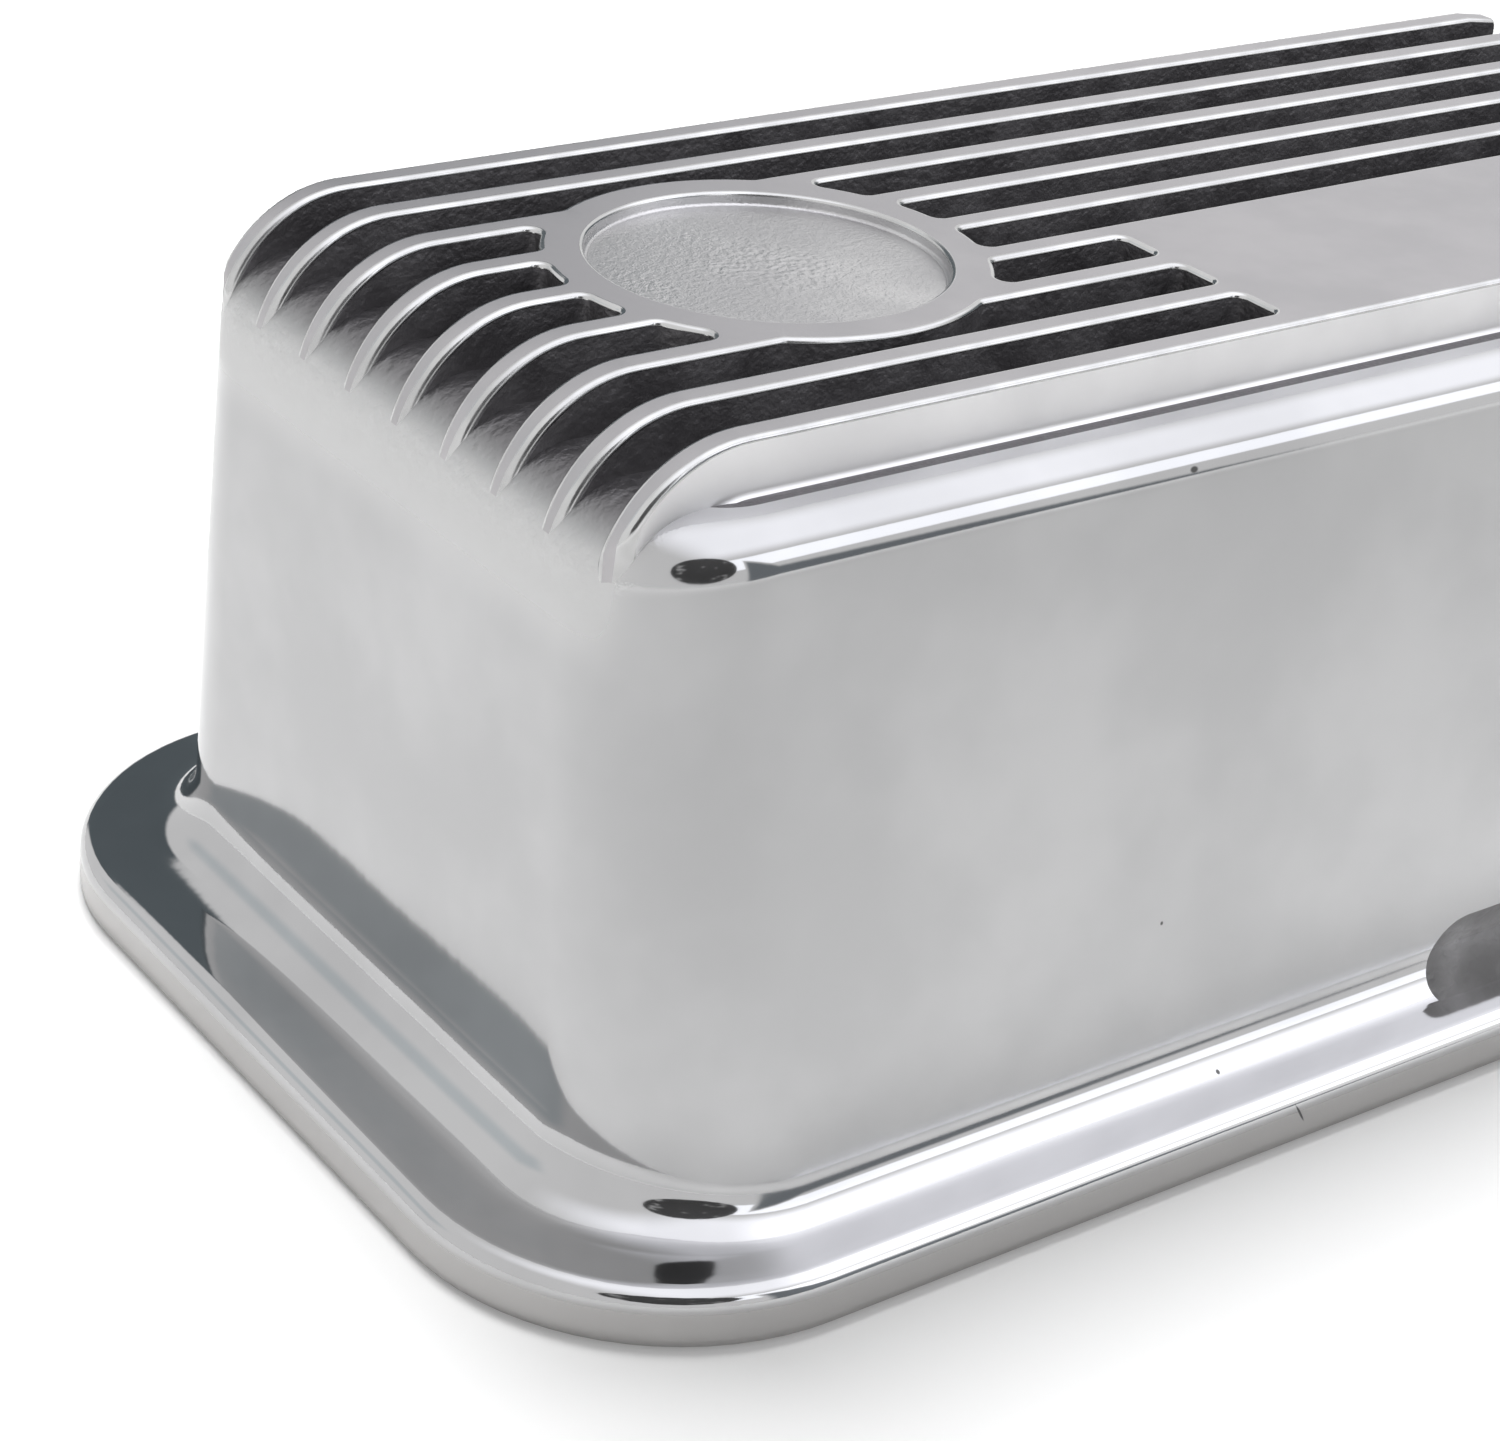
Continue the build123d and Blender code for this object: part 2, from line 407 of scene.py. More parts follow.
print("points along one fin face", len(straight(-REACH, REACH, 0.0, 1)))

# %% Where a fin face meets a ring


def ring_meeting(cx, y, ny, side):
    """Where a fin face meets a ring: centre of the corner circle, and its angle seen from the ring."""
    fy = y - ny * INNER_CORNER
    reach = RING_RADIUS + INNER_CORNER
    fx = cx + side * math.sqrt(reach * reach - fy * fy)
    return fx, fy, math.atan2(fy, fx - cx)


print("the fourth fin meets the ring at x", round(ring_meeting(-RING_X, fin_y(4), 1, 1)[0], 2))

# %% A groove that ends at a ring
TURN_STEPS, RING_STEPS = 8, 14


def around_ring(cx, side, top_y, bottom_y):
    """Closed end of a groove at a ring: from the upper fin face to the lower one."""
    ux, uy, u_angle = ring_meeting(cx, top_y, 1, side)
    lx, ly, l_angle = ring_meeting(cx, bottom_y, -1, side)
    if side < 0:
        u_angle, l_angle = u_angle % math.tau, l_angle % math.tau
    back = side * math.pi
    first = arc(ux, uy, INNER_CORNER, math.pi / 2, u_angle + back, TURN_STEPS, 1)
    middle = arc(cx, 0, RING_RADIUS, u_angle, l_angle, RING_STEPS, -1)
    last = arc(lx, ly, INNER_CORNER, l_angle + back, back + math.pi / 2, TURN_STEPS, 1)
    return first + middle[1:-1] + last


print("points round a groove end", len(around_ring(-RING_X, 1, fin_y(4), fin_y(5))))

# %% A groove that a ring bulges into
BULGE_TURN_STEPS, BULGE_STEPS = 6, 20


def bulge(cx, y, ny):
    """A ring bulging past a fin face at y into a groove, in order of growing x."""
    ax, ay, a_angle = ring_meeting(cx, y, ny, -1)
    bx, by, b_angle = ring_meeting(cx, y, ny, 1)
    up = math.pi / 2 * ny % math.tau
    a_angle, b_angle = a_angle % math.tau, b_angle % math.tau
    first = arc(ax, ay, INNER_CORNER, up, (a_angle - math.pi) % math.tau, BULGE_TURN_STEPS, 1)
    middle = arc(cx, 0, RING_RADIUS, a_angle, b_angle, BULGE_STEPS, -1)
    last = arc(bx, by, INNER_CORNER, (b_angle - math.pi) % math.tau, up, BULGE_TURN_STEPS, 1)
    return first + middle[1:-1] + last


print("points along a bulge", len(bulge(-RING_X, fin_y(3), -1)))

# %% Mirroring and joining runs
SAME_POINT = 0.05  # points closer than this count as one


def mirrored(chain):
    return [(-x, y, -nx, ny) for x, y, nx, ny in chain]


def gap_faces(number):
    """Y of the two fin faces that bound the groove between this fin and the next."""
    return fin_y(number) - FIN_THICKNESS / 2, fin_y(number + 1) + FIN_THICKNESS / 2


def joined(*runs):
    """One chain from several runs, without points that fall on each other."""
    chain = []
    for run in runs:
        for point in run:
            if not chain or math.dist(point[:2], chain[-1][:2]) > SAME_POINT:
                chain.append(point)
    return chain


print("a groove is", round(FIN_PITCH - FIN_THICKNESS, 2), "mm wide")

# %% [markdown]
# The fins could be copies of one bar, but hardly two grooves end alike: some stop at a ring or at the pad,
# some are closed between them, and some pass a ring that bulges into them. So each outline is joined from the
# same few runs. One half is worked out, and the other is its mirror image.

# %% Grooves that meet a ring
open_chains, closed_chains = [], []

for number in (3, 4, 5, 6):
    high, low = gap_faces(number)
    end = around_ring(-RING_X, -1, high, low)
    groove = joined(straight(-REACH, end[0][0], high, 1), end, straight(end[-1][0], -REACH, low, -1))
    open_chains += [groove, mirrored(groove)]

for number in (3, 4, 5):
    high, low = gap_faces(number)
    left = around_ring(-RING_X, 1, high, low)
    right = mirrored(left)
    top = straight(right[0][0], left[0][0], high, 1)
    bottom = straight(left[-1][0], right[-1][0], low, -1)
    closed_chains.append(joined(top, left, bottom, right[::-1])[:-1])
print("outlines so far", len(open_chains), "open", len(closed_chains), "closed")

# %% Grooves that meet the pad
PAD_TURN_STEPS = 6


def pad_end(high, low):
    """Closed end of a groove at the pad, from the upper fin face to the lower one."""
    cx = -PAD_X - INNER_CORNER
    upper = arc(cx, high - INNER_CORNER, INNER_CORNER, math.pi / 2, 0, PAD_TURN_STEPS, 1)
    lower = arc(cx, low + INNER_CORNER, INNER_CORNER, 0, -math.pi / 2, PAD_TURN_STEPS, 1)
    return upper + lower


high, low = gap_faces(6)
left, right = around_ring(-RING_X, 1, high, low), pad_end(high, low)
groove = joined(straight(left[-1][0], right[-1][0], low, -1), right[::-1],
                straight(right[0][0], left[0][0], high, 1), left)[:-1]
closed_chains += [groove, mirrored(groove)]

high, low = gap_faces(7)
end, swell = pad_end(high, low), bulge(-RING_X, high, 1)
groove = joined(straight(-REACH, swell[0][0], high, 1), swell, straight(swell[-1][0], end[0][0], high, 1),
                end, straight(end[-1][0], -REACH, low, -1))
open_chains += [groove, mirrored(groove)]

high, low = gap_faces(8)
end = pad_end(high, low)
groove = joined(straight(-REACH, end[0][0], high, 1), end, straight(end[-1][0], -REACH, low, -1))
open_chains += [groove, mirrored(groove)]
print("outlines so far", len(open_chains), "open", len(closed_chains), "closed")

# %% Long grooves, and the break in the rearmost fin
BREAK_TURN_STEPS = 5
high, low = gap_faces(2)
open_chains.append(straight(-REACH, REACH, high, 1))
swell = bulge(-RING_X, low, -1)
other = mirrored(swell)[::-1]
open_chains.append(joined(straight(-REACH, swell[0][0], low, -1), swell,
                          straight(swell[-1][0], other[0][0], low, -1), other,
                          straight(other[-1][0], REACH, low, -1)))

high, low = gap_faces(1)
open_chains.append(straight(-REACH, REACH, low, -1))
back = fin_y(1) + FIN_THICKNESS / 2
tip = arc(-BREAK_X - BREAK_CORNER, high + BREAK_CORNER, BREAK_CORNER, -math.pi / 2, 0, BREAK_TURN_STEPS, -1)
tip += arc(-BREAK_X - BREAK_CORNER, back - BREAK_CORNER, BREAK_CORNER, 0, math.pi / 2, BREAK_TURN_STEPS, -1)
half_fin = joined(straight(-REACH, tip[0][0], high, 1), tip, straight(tip[-1][0], -REACH, back, -1))
open_chains += [half_fin, mirrored(half_fin)]
open_chains.append(straight(-REACH, REACH, fin_y(FIN_COUNT) - FIN_THICKNESS / 2, 1))
print("outlines so far", len(open_chains), "open", len(closed_chains), "closed")

# %% Outlines of the recesses
RECESS_STEPS, NEARLY_ROUND = 179, 0.99444  # the last step, back to the first point, is the face's own
recess_chains = [arc(side * RING_X, 0, RECESS_RADIUS, 0, math.tau * NEARLY_ROUND, RECESS_STEPS, 1)
                 for side in (-1, 1)]
print("recess outlines", len(recess_chains), "of", len(recess_chains[0]), "points")

# %% [markdown]
# A wall of the deck is a list of levels: in over the rounded top edge, straight down, and out over the small
# fillet at its foot. It could be a bevelled extrusion, but a bevel breaks where three fins crowd a ring, and
# a list of levels never does.

# %% Levels of a wall
EDGE_RADIUS, END_EDGE_RADIUS, FOOT_RADIUS = 0.7, 1.3, 0.9
EMBED = 2.0  # how far the deck reaches down into the box
EDGE_STEPS, FOOT_STEPS = 6, 5
WALL_ROWS = (0.35, 0.7)  # shares of the way down the straight wall


def smooth_step(low, high, value):
    share = min(max((value - low) / (high - low), 0.0), 1.0)
    return share * share * (3 - 2 * share)


def edge_radius(u):
    """Polishing has worn the fins rounder where they curl down."""
    return EDGE_RADIUS + (END_EDGE_RADIUS - EDGE_RADIUS) * smooth_step(FLAT_X, REACH, abs(u))


def wall_levels():
    """How far into the metal, and how far below the top, each row of a groove wall lies."""
    levels = []
    for turn in quarter(EDGE_STEPS):
        levels.append(("edge", 1 - math.sin(turn), 1 - math.cos(turn)))
    for share in WALL_ROWS:
        levels.append(("wall", 0.0, share))
    for turn in quarter(FOOT_STEPS):
        levels.append(("foot", -(1 - math.cos(turn)), 1 - math.sin(turn)))
    levels.append(("foot", -1.0, -EMBED / FOOT_RADIUS))
    return levels


print("levels of a wall", len(wall_levels()))

# %% [markdown]
# Bending turns the flat pattern down over the ends. A point beyond the flat length goes round the quarter
# circle instead, nearer its centre the deeper it lies in the groove. The grooves get shallower on the way,
# because their floor is the box, whose own shoulder is tighter than the fins' curl.

# %% Bend the ends and lower the break
FULL_DEPTH, SHALLOWING = 1.6, 0.7125  # the depth that stays whole, and the share lost below it at the tip
SHALLOW_FROM, SHALLOW_TO = 0.5, 1.3  # radians round the curl
CORNER_LEAN = 0.04  # setback of the outer fins for each millimetre round the box's corner
BREAK_FADE = 0.4  # share of the fin's height down to which the break is rounded in full


def placed(u, y, drop):
    """A point of the flat pattern in its place: curled down at the ends, and lowered beside the break."""
    beside = abs(u) - BREAK_X
    if y > fin_y(1) - FIN_THICKNESS and beside < BREAK_RADIUS:
        away = BREAK_RADIUS - max(beside, 0.0)
        share = 1 - smooth_step(FIN_HEIGHT * BREAK_FADE, FIN_HEIGHT, drop)
        drop += share * (BREAK_RADIUS - math.sqrt(BREAK_RADIUS**2 - away**2))
    along = abs(u) - FLAT_X
    if along <= 0:
        return u, y, HEIGHT - drop
    turn = along / FIN_END_RADIUS
    shallow = 1 - SHALLOWING * smooth_step(SHALLOW_FROM, SHALLOW_TO, turn)
    depth = drop if drop < FULL_DEPTH else FULL_DEPTH + (drop - FULL_DEPTH) * shallow
    radius = FIN_END_RADIUS - depth
    x, z = FLAT_X + radius * math.sin(turn), HEIGHT - FIN_END_RADIUS + radius * math.cos(turn)
    half_length, half_width, corner = wall_outline(z)
    aside = max(abs(y) - (half_width - corner), 0.0)
    face = half_length - corner + math.sqrt(corner**2 - aside**2) - FIN_SETBACK - CORNER_LEAN * aside
    return math.copysign(min(x, face - depth), u), y, z


print("tip of the middle fin at", [round(v, 2) for v in placed(REACH, 0.0, 0.0)])

# %% Rows of a groove wall and of a recess wall
RECESS_RIM, RECESS_FOOT, RECESS_EMBED = 0.55, 0.5, 0.3


def deck_row(chain, level):
    """One row of a wall, still in the flat pattern: along, across and below the top."""
    kind, inward, down = level
    row = []
    for x, y, nx, ny in chain:
        radius = edge_radius(x)
        if kind == "edge":
            inset, drop = inward * radius, down * radius
        elif kind == "wall":
            inset, drop = 0.0, radius + (FIN_HEIGHT - FOOT_RADIUS - radius) * down
        else:
            inset, drop = inward * FOOT_RADIUS, FIN_HEIGHT - down * FOOT_RADIUS
        row.append((x + inset * nx, y + inset * ny, drop))
    return row


def recess_levels():
    """Rows of a recess wall, from the rim down to the floor."""
    levels = []
    for turn in quarter(EDGE_STEPS):
        levels.append((RECESS_RIM * (1 - math.sin(turn)), RECESS_RIM * (1 - math.cos(turn))))
    for turn in quarter(FOOT_STEPS):
        levels.append((-RECESS_FOOT * (1 - math.cos(turn)), RECESS_DEPTH - RECESS_FOOT * (1 - math.sin(turn))))
    levels.append((-RECESS_FOOT, RECESS_DEPTH + RECESS_EMBED))
    return levels


print("levels of a recess wall", len(recess_levels()))

# %% A place to collect the deck
deck_points, deck_faces, deck_kinds = [], [], []
TOP, SIDE, FLOOR, OUTER, EDGE = 0, 1, 2, 3, 4  # kinds of face, each with its own finish
edges = {"top": [], "bottom": []}
ends = {}


def add_face(corners, kind):
    deck_faces.append(corners)
    deck_kinds.append(kind)


def add_rows(rows, closed, kinds):
    """Adds rows of placed points and the faces between them, and returns the first index of each row."""
    starts, count = [], len(rows[0])
    for row in rows:
        starts.append(len(deck_points))
        deck_points.extend(row)
    for level in range(len(rows) - 1):
        for step in range(count if closed else count - 1):
            a, b = step, (step + 1) % count
            p, q = starts[level], starts[level + 1]
            add_face((p + a, p + b, q + b, q + a), kinds[level])
    return starts


print("kinds of face", EDGE + 1)

# %% Walls of the grooves
OUTER_Y = fin_y(1) + FIN_THICKNESS / 2 - 0.1  # beyond it lie the outer sides of the outermost fins
# The lowest rows keep the groove finish, whose near-black tone paints a line of shade in the crevice at the foot of
# those sides.
CREVICE_ROWS = 3  # lowest rows of those sides, which stay as cast
levels = wall_levels()
level_kinds = [EDGE if level[0] == "edge" else SIDE for level in levels[1:]]
flat_places = {}
for chain, closed in [(c, False) for c in open_chains] + [(c, True) for c in closed_chains]:
    rows = [deck_row(chain, level) for level in levels]
    first_face = len(deck_faces)
    starts = add_rows([[placed(*point) for point in row] for row in rows], closed, level_kinds)
    crevice = len(deck_faces) - CREVICE_ROWS * (len(deck_faces) - first_face) // len(level_kinds)
    for index in range(first_face, crevice):
        outside = min(abs(deck_points[corner][1]) for corner in deck_faces[index]) > OUTER_Y
        if deck_kinds[index] == SIDE and outside:
            deck_kinds[index] = OUTER
    for where, row, start in (("top", rows[0], starts[0]), ("bottom", rows[-1], starts[-1])):
        for step, point in enumerate(row):
            flat_places[start + step] = point[:2]
        last = len(row) if closed else len(row) - 1
        edges[where] += [(start + step, start + (step + 1) % len(row)) for step in range(last)]
    if not closed:
        for step in (0, len(chain) - 1):
            side = 1 if chain[step][0] > 0 else -1
            ends.setdefault(side, []).append((chain[step][1], [start + step for start in starts]))
print("faces of the groove walls", len(deck_faces))

# %% Close the fin ends
for side, columns in ends.items():
    columns.sort()
    for low, high in zip(columns[::2], columns[1::2]):
        edges["top"].append((low[1][0], high[1][0]))
        edges["bottom"].append((low[1][-1], high[1][-1]))
        add_face(tuple(low[1] + high[1][::-1]), SIDE)
    print("fins at end", side, len(columns) // 2)

# %% Walls and floors of the recesses
for chain in recess_chains:
    rows = [[(x + inset * nx, y + inset * ny, HEIGHT - drop) for x, y, nx, ny in chain]
            for inset, drop in recess_levels()]
    starts = add_rows(rows, True, [EDGE] * EDGE_STEPS + [FLOOR] * (FOOT_STEPS + 2))
    count = len(chain)
    for step in range(count):
        flat_places[starts[0] + step] = rows[0][step][:2]
    edges["top"] += [(starts[0] + step, starts[0] + (step + 1) % count) for step in range(count)]
    add_face(tuple(starts[-1] + step for step in range(count)), FLOOR)
print("faces so far", len(deck_faces))

# %% [markdown]
# The level tops between all these outlines are one flat area with many holes. A fill by hand would need a cut
# for each hole, so a constrained Delaunay triangulation joins all points at once and keeps every outline as
# an edge. A triangle belongs to the metal if a line from it to the side crosses the outlines an odd number of
# times.

# %% Fill the flat areas
SAME_PLACE = 1e-5
JUST_ASIDE = np.array([1.3e-5, 0.7e-5])  # keeps a triangle's middle off the outline's own points


def fill(where):
    """Flat triangles between the outlines, where there is metal."""
    pairs = edges[where]
    used = sorted({index for pair in pairs for index in pair})
    number = {index: place for place, index in enumerate(used)}
    places = [Vector(flat_places[index]) for index in used]
    links = [(number[a], number[b]) for a, b in pairs]
    verts, _, triangles, origins, _, _ = geometry.delaunay_2d_cdt(places, links, [], 0, SAME_PLACE)
    ends_a = np.array([places[a] for a, _ in links])
    ends_b = np.array([places[b] for _, b in links])
    kept = 0
    for triangle in triangles:
        x, y = np.mean([verts[v] for v in triangle], axis=0) + JUST_ASIDE
        spans = (ends_a[:, 0] > x) != (ends_b[:, 0] > x)
        a, b = ends_a[spans], ends_b[spans]
        crossing = a[:, 1] + (x - a[:, 0]) / (b[:, 0] - a[:, 0]) * (b[:, 1] - a[:, 1])
        if np.count_nonzero(crossing > y) % 2:
            add_face(tuple(used[origins[v][0]] for v in triangle), TOP if where == "top" else SIDE)
            kept += 1
    print(where, "of the deck:", kept, "triangles,", len(verts) - len(used), "extra points")


fill("top")
fill("bottom")
deck = mesh_object("fin_deck", deck_points, deck_faces, deck_kinds)

# %% [markdown]
# ## Shading the faces
# Both pieces are smooth except at real edges. Big flat faces beside narrow rounded ones would bend their
# reflections, so the Weighted Normal modifier lets the larger faces decide how light leaves their corners.

# %% Smooth shading


def smoothed(piece, degrees=38):
    """Shades a piece smooth, except where two faces meet at more than an angle."""
    mesh = piece.data
    mesh.polygons.foreach_set("use_smooth", [True] * len(mesh.polygons))
    work = bmesh.new()
    work.from_mesh(mesh)
    sharp = [len(e.link_faces) != 2 or e.calc_face_angle(0) > math.radians(degrees) for e in work.edges]
    work.free()
    mesh.attributes.new("sharp_edge", "BOOLEAN", "EDGE").data.foreach_set("value", sharp)
    weigh = piece.modifiers.new("weigh", "WEIGHTED_NORMAL")
    weigh.keep_sharp, weigh.weight = True, 50
    settle(piece, weigh)
    print(piece.name, "sharp edges", sum(sharp), "of", len(sharp))


smoothed(box)
smoothed(deck)

# %% [markdown]
# ## Node helpers
# Every material below is procedural, so it has no image to be lost and it keeps its scale if the cover is
# resized. A few short functions add and wire nodes, and settings that never change are typed into the
# sockets.

# %% Helper for one node


def add_node(tree, kind, settings=None, **links):
    """A node with typed settings and wired inputs. Input names use _ for a space."""
    node = tree.nodes.new(kind)
    for name, value in (settings or {}).items():
        setattr(node, name, value)
    for name, value in links.items():
        socket = node.inputs[int(name[1:])] if name[1:].isdigit() else node.inputs[name.replace("_", " ")]
        if isinstance(value, bpy.types.NodeSocket):
            tree.links.new(value, socket)
        else:
            socket.default_value = value
    return node


print("node helper ready")

# %% Helpers for maths and mixes


def maths(tree, operation, first, second):
    return add_node(tree, "ShaderNodeMath", {"operation": operation}, _0=first, _1=second).outputs[0]


def ramp(tree, value, low, high, out_low, out_high):
    node = add_node(tree, "ShaderNodeMapRange", {"interpolation_type": "SMOOTHSTEP"}, Value=value,
                    From_Min=low, From_Max=high, To_Min=out_low, To_Max=out_high)
    return node.outputs["Result"]


def rising(tree, value, band):
    """0 below the band, 1 above it."""
    return ramp(tree, value, *band, 0.0, 1.0)


def falling(tree, value, band):
    """1 below the band, 0 above it."""
    return ramp(tree, value, *band, 1.0, 0.0)


def times(tree, first, second):
    return maths(tree, "MULTIPLY", first, second)


def vector_maths(tree, operation, first, second=(0.0, 0.0, 0.0)):
    return add_node(tree, "ShaderNodeVectorMath", {"operation": operation}, _0=first, _1=second)


def mixed(tree, share, under, over):
    """One colour over another where the share is 1."""
    return add_node(tree, "ShaderNodeMix", {"data_type": "RGBA"}, _0=share, _6=under, _7=over).outputs[2]


print("maths and mixes ready")

# %% Helpers for groups and materials


def node_group(name, kind, inputs, outputs):
    """An empty node group with named sockets: the tree, and the nodes that hold its inputs and outputs."""
    tree = bpy.data.node_groups.new(name, kind)
    for socket, socket_type, default in inputs:
        made = tree.interface.new_socket(name=socket, in_out="INPUT", socket_type=socket_type)
        if default is not None:
            made.default_value = default
    for socket, socket_type in outputs:
        tree.interface.new_socket(name=socket, in_out="OUTPUT", socket_type=socket_type)
    return tree, tree.nodes.new("NodeGroupInput"), tree.nodes.new("NodeGroupOutput")


def new_material(name, **settings):
    """A material, its tree and its shader, with constants typed into the shader's own sockets."""
    material = bpy.data.materials.new(name)
    material.use_nodes = True
    shader = material.node_tree.nodes["Principled BSDF"]
    for socket, value in settings.items():
        shader.inputs[socket.replace("_", " ")].default_value = value
    return material, material.node_tree, shader


print("helpers for groups and materials ready")

# %% [markdown]
# ## Effects shared by the finishes
# No finish is perfectly even: hand polishing leaves clouds a few centimetres wide, and casting and sanding
# leave a fine relief. Each effect is used by several finishes, so each is one node group with named
# controls, and the finishes only differ in the numbers that they give it.

# %% Group for uneven finish
VALUE, COLOUR, VECTOR = "NodeSocketFloat", "NodeSocketColor", "NodeSocketVector"
CLOUD_BAND = (0.32, 0.68)
uneven, given, result = node_group(
    "Uneven finish", "ShaderNodeTree",
    [("Vector", VECTOR, None), ("Scale", VALUE, 40.0), ("Detail", VALUE, 3.0),
     ("Rough Low", VALUE, 0.1), ("Rough High", VALUE, 0.3),
     ("Light Tone", COLOUR, (0.5, 0.5, 0.5, 1)), ("Dark Tone", COLOUR, (0.4, 0.4, 0.4, 1))],
    [("Color", COLOUR), ("Roughness", VALUE), ("Share", VALUE)])
cloud = add_node(uneven, "ShaderNodeTexNoise", Vector=given.outputs["Vector"], Scale=given.outputs["Scale"],
                 Detail=given.outputs["Detail"], Roughness=0.55).outputs["Fac"]
share = rising(uneven, cloud, CLOUD_BAND)
rough = add_node(uneven, "ShaderNodeMix", {"data_type": "FLOAT"}, _0=share, _2=given.outputs["Rough Low"],
                 _3=given.outputs["Rough High"]).outputs[0]
tone = mixed(uneven, share, given.outputs["Light Tone"], given.outputs["Dark Tone"])
uneven.links.new(tone, result.inputs["Color"])
uneven.links.new(rough, result.inputs["Roughness"])
uneven.links.new(share, result.inputs["Share"])
print(uneven.name, "nodes", len(uneven.nodes))

# %% Group for fine relief
relief, given, result = node_group(
    "Fine relief", "ShaderNodeTree",
    [("Vector", VECTOR, None), ("Stretch", VECTOR, (1.0, 1.0, 1.0)), ("Scale", VALUE, 500.0),
     ("Detail", VALUE, 2.0), ("Depth", VALUE, 0.0001), ("Amount", VALUE, 1.0), ("Normal", VECTOR, None)],
    [("Normal", VECTOR), ("Height", VALUE)])
where = vector_maths(relief, "MULTIPLY", given.outputs["Vector"], given.outputs["Stretch"]).outputs[0]
height = add_node(relief, "ShaderNodeTexNoise", Vector=where, Scale=given.outputs["Scale"],
                  Detail=given.outputs["Detail"], Roughness=0.55).outputs["Fac"]
bumped = add_node(relief, "ShaderNodeBump", Height=height, Distance=given.outputs["Depth"],
                  Strength=given.outputs["Amount"], Normal=given.outputs["Normal"])
relief.links.new(bumped.outputs["Normal"], result.inputs["Normal"])
relief.links.new(height, result.inputs["Height"])
print(relief.name, "nodes", len(relief.nodes))

# %% [markdown]
# A used cover also has single marks, such as a nick or a scratch. Each is a small ellipsoid in space, and where
# the surface passes through it the metal is darker. One group makes them all from a place, a size and a turn.

# %% Group for a small mark
MARK_BAND = (0.5, 1.0)
mark, given, result = node_group(
    "Small mark", "ShaderNodeTree",
    [("Vector", VECTOR, None), ("Place", VECTOR, (0.0, 0.0, 0.0)), ("Turn", VALUE, 0.0),
     ("Half Size", VECTOR, (0.001, 0.001, 0.001))], [("Share", VALUE)])
from_mark = vector_maths(mark, "SUBTRACT", given.outputs["Vector"], given.outputs["Place"]).outputs[0]
turned = add_node(mark, "ShaderNodeVectorRotate", {"rotation_type": "Y_AXIS"}, Vector=from_mark,
                  Angle=given.outputs["Turn"]).outputs[0]
scaled = vector_maths(mark, "DIVIDE", turned, given.outputs["Half Size"]).outputs[0]
off_mark = vector_maths(mark, "LENGTH", scaled).outputs["Value"]
mark.links.new(falling(mark, off_mark, MARK_BAND), result.inputs["Share"])
print(mark.name, "nodes", len(mark.nodes))

# %% [markdown]
# A finish is a metal shader fed by these groups. It could be copied and changed by hand for every surface, but
# then a change to one would be lost on the others, so one function builds them all.

# %% Function for one finish


def finish(name, scale, rough, light, dark, layers, detail=3.0):
    """A metal from the two groups: uneven tone and roughness, and one or more layers of fine relief."""
    material, tree, shader = new_material(name, Metallic=1.0)
    place = tree.nodes.new("ShaderNodeTexCoord").outputs["Object"]
    base = add_node(tree, "ShaderNodeGroup", {"node_tree": uneven}, Vector=place, Scale=scale, Detail=detail,
                    Rough_Low=rough[0], Rough_High=rough[1], Light_Tone=(*light, 1), Dark_Tone=(*dark, 1))
    tree.links.new(base.outputs["Color"], shader.inputs["Base Color"])
    tree.links.new(base.outputs["Roughness"], shader.inputs["Roughness"])
    normal = add_node(tree, "ShaderNodeNewGeometry").outputs["Normal"]
    for stretch, size, depth in layers:
        layer = add_node(tree, "ShaderNodeGroup", {"node_tree": relief}, Vector=place, Stretch=stretch,
                         Scale=size, Depth=depth, Normal=normal)
        normal = layer.outputs["Normal"]
    tree.links.new(normal, shader.inputs["Normal"])
    print(name, "nodes", len(tree.nodes))
    return material, tree, shader, place, base


print("finish helper ready")

# %% [markdown]
# ## The plain finishes
# The tops of the fins, rings and pad are sanded flat, which leaves fine lines along the cover. Their rounded
# edges catch the polishing wheel, so they shine. The grooves are rough as cast, and their near-black tone is
# painted shade; the paler inside is rough as cast too. The round recesses are pebbled, so that a badge would
# have a keyed surface to be glued to.

# %% Sanded tops, satin sides with a painted sheen, and buffed edges
EVEN = (1.0, 1.0, 1.0)
sanded = finish("sanded_aluminium", 60.0, (0.42, 0.48), (0.48, 0.468, 0.48), (0.44, 0.43, 0.44),
                [((0.06, 1.0, 1.0), 2600.0, 0.00001)])[0]
# The satin sides are partly their real finish and partly a painted sheen: a tone far lighter than the sanded metal,
# for the bright floor they mirror.
satin_and_sheen = finish("satin_side_sheen", 40.0, (0.38, 0.46), (0.76, 0.755, 0.76), (0.70, 0.695, 0.70),
               [((0.06, 1.0, 1.0), 1800.0, 0.00001)])[0]
buffed = finish("buffed_edge", 140.0, (0.14, 0.26), (0.60, 0.60, 0.60), (0.50, 0.50, 0.50),
                [(EVEN, 60.0, 0.00004)])[0]

# %% Cast grooves with painted shade, pebbled floors and the raw inside
# The groove finish is rough cast metal, and its near-black tone is painted shade between the fins.
cast_and_shade = finish("shaded_cast_groove", 120.0, (0.48, 0.58), (0.14, 0.135, 0.14), (0.17, 0.165, 0.17),
              [(EVEN, 900.0, 0.00025)])[0]
pebbled = finish("pebbled_floor", 70.0, (0.26, 0.42), (0.61, 0.605, 0.61), (0.50, 0.495, 0.50),
                 [(EVEN, 3200.0, 0.00008)])[0]
raw = finish("raw_inside", 90.0, (0.5, 0.66), (0.40, 0.395, 0.39), (0.32, 0.315, 0.31),
             [(EVEN, 700.0, 0.00030)])[0]

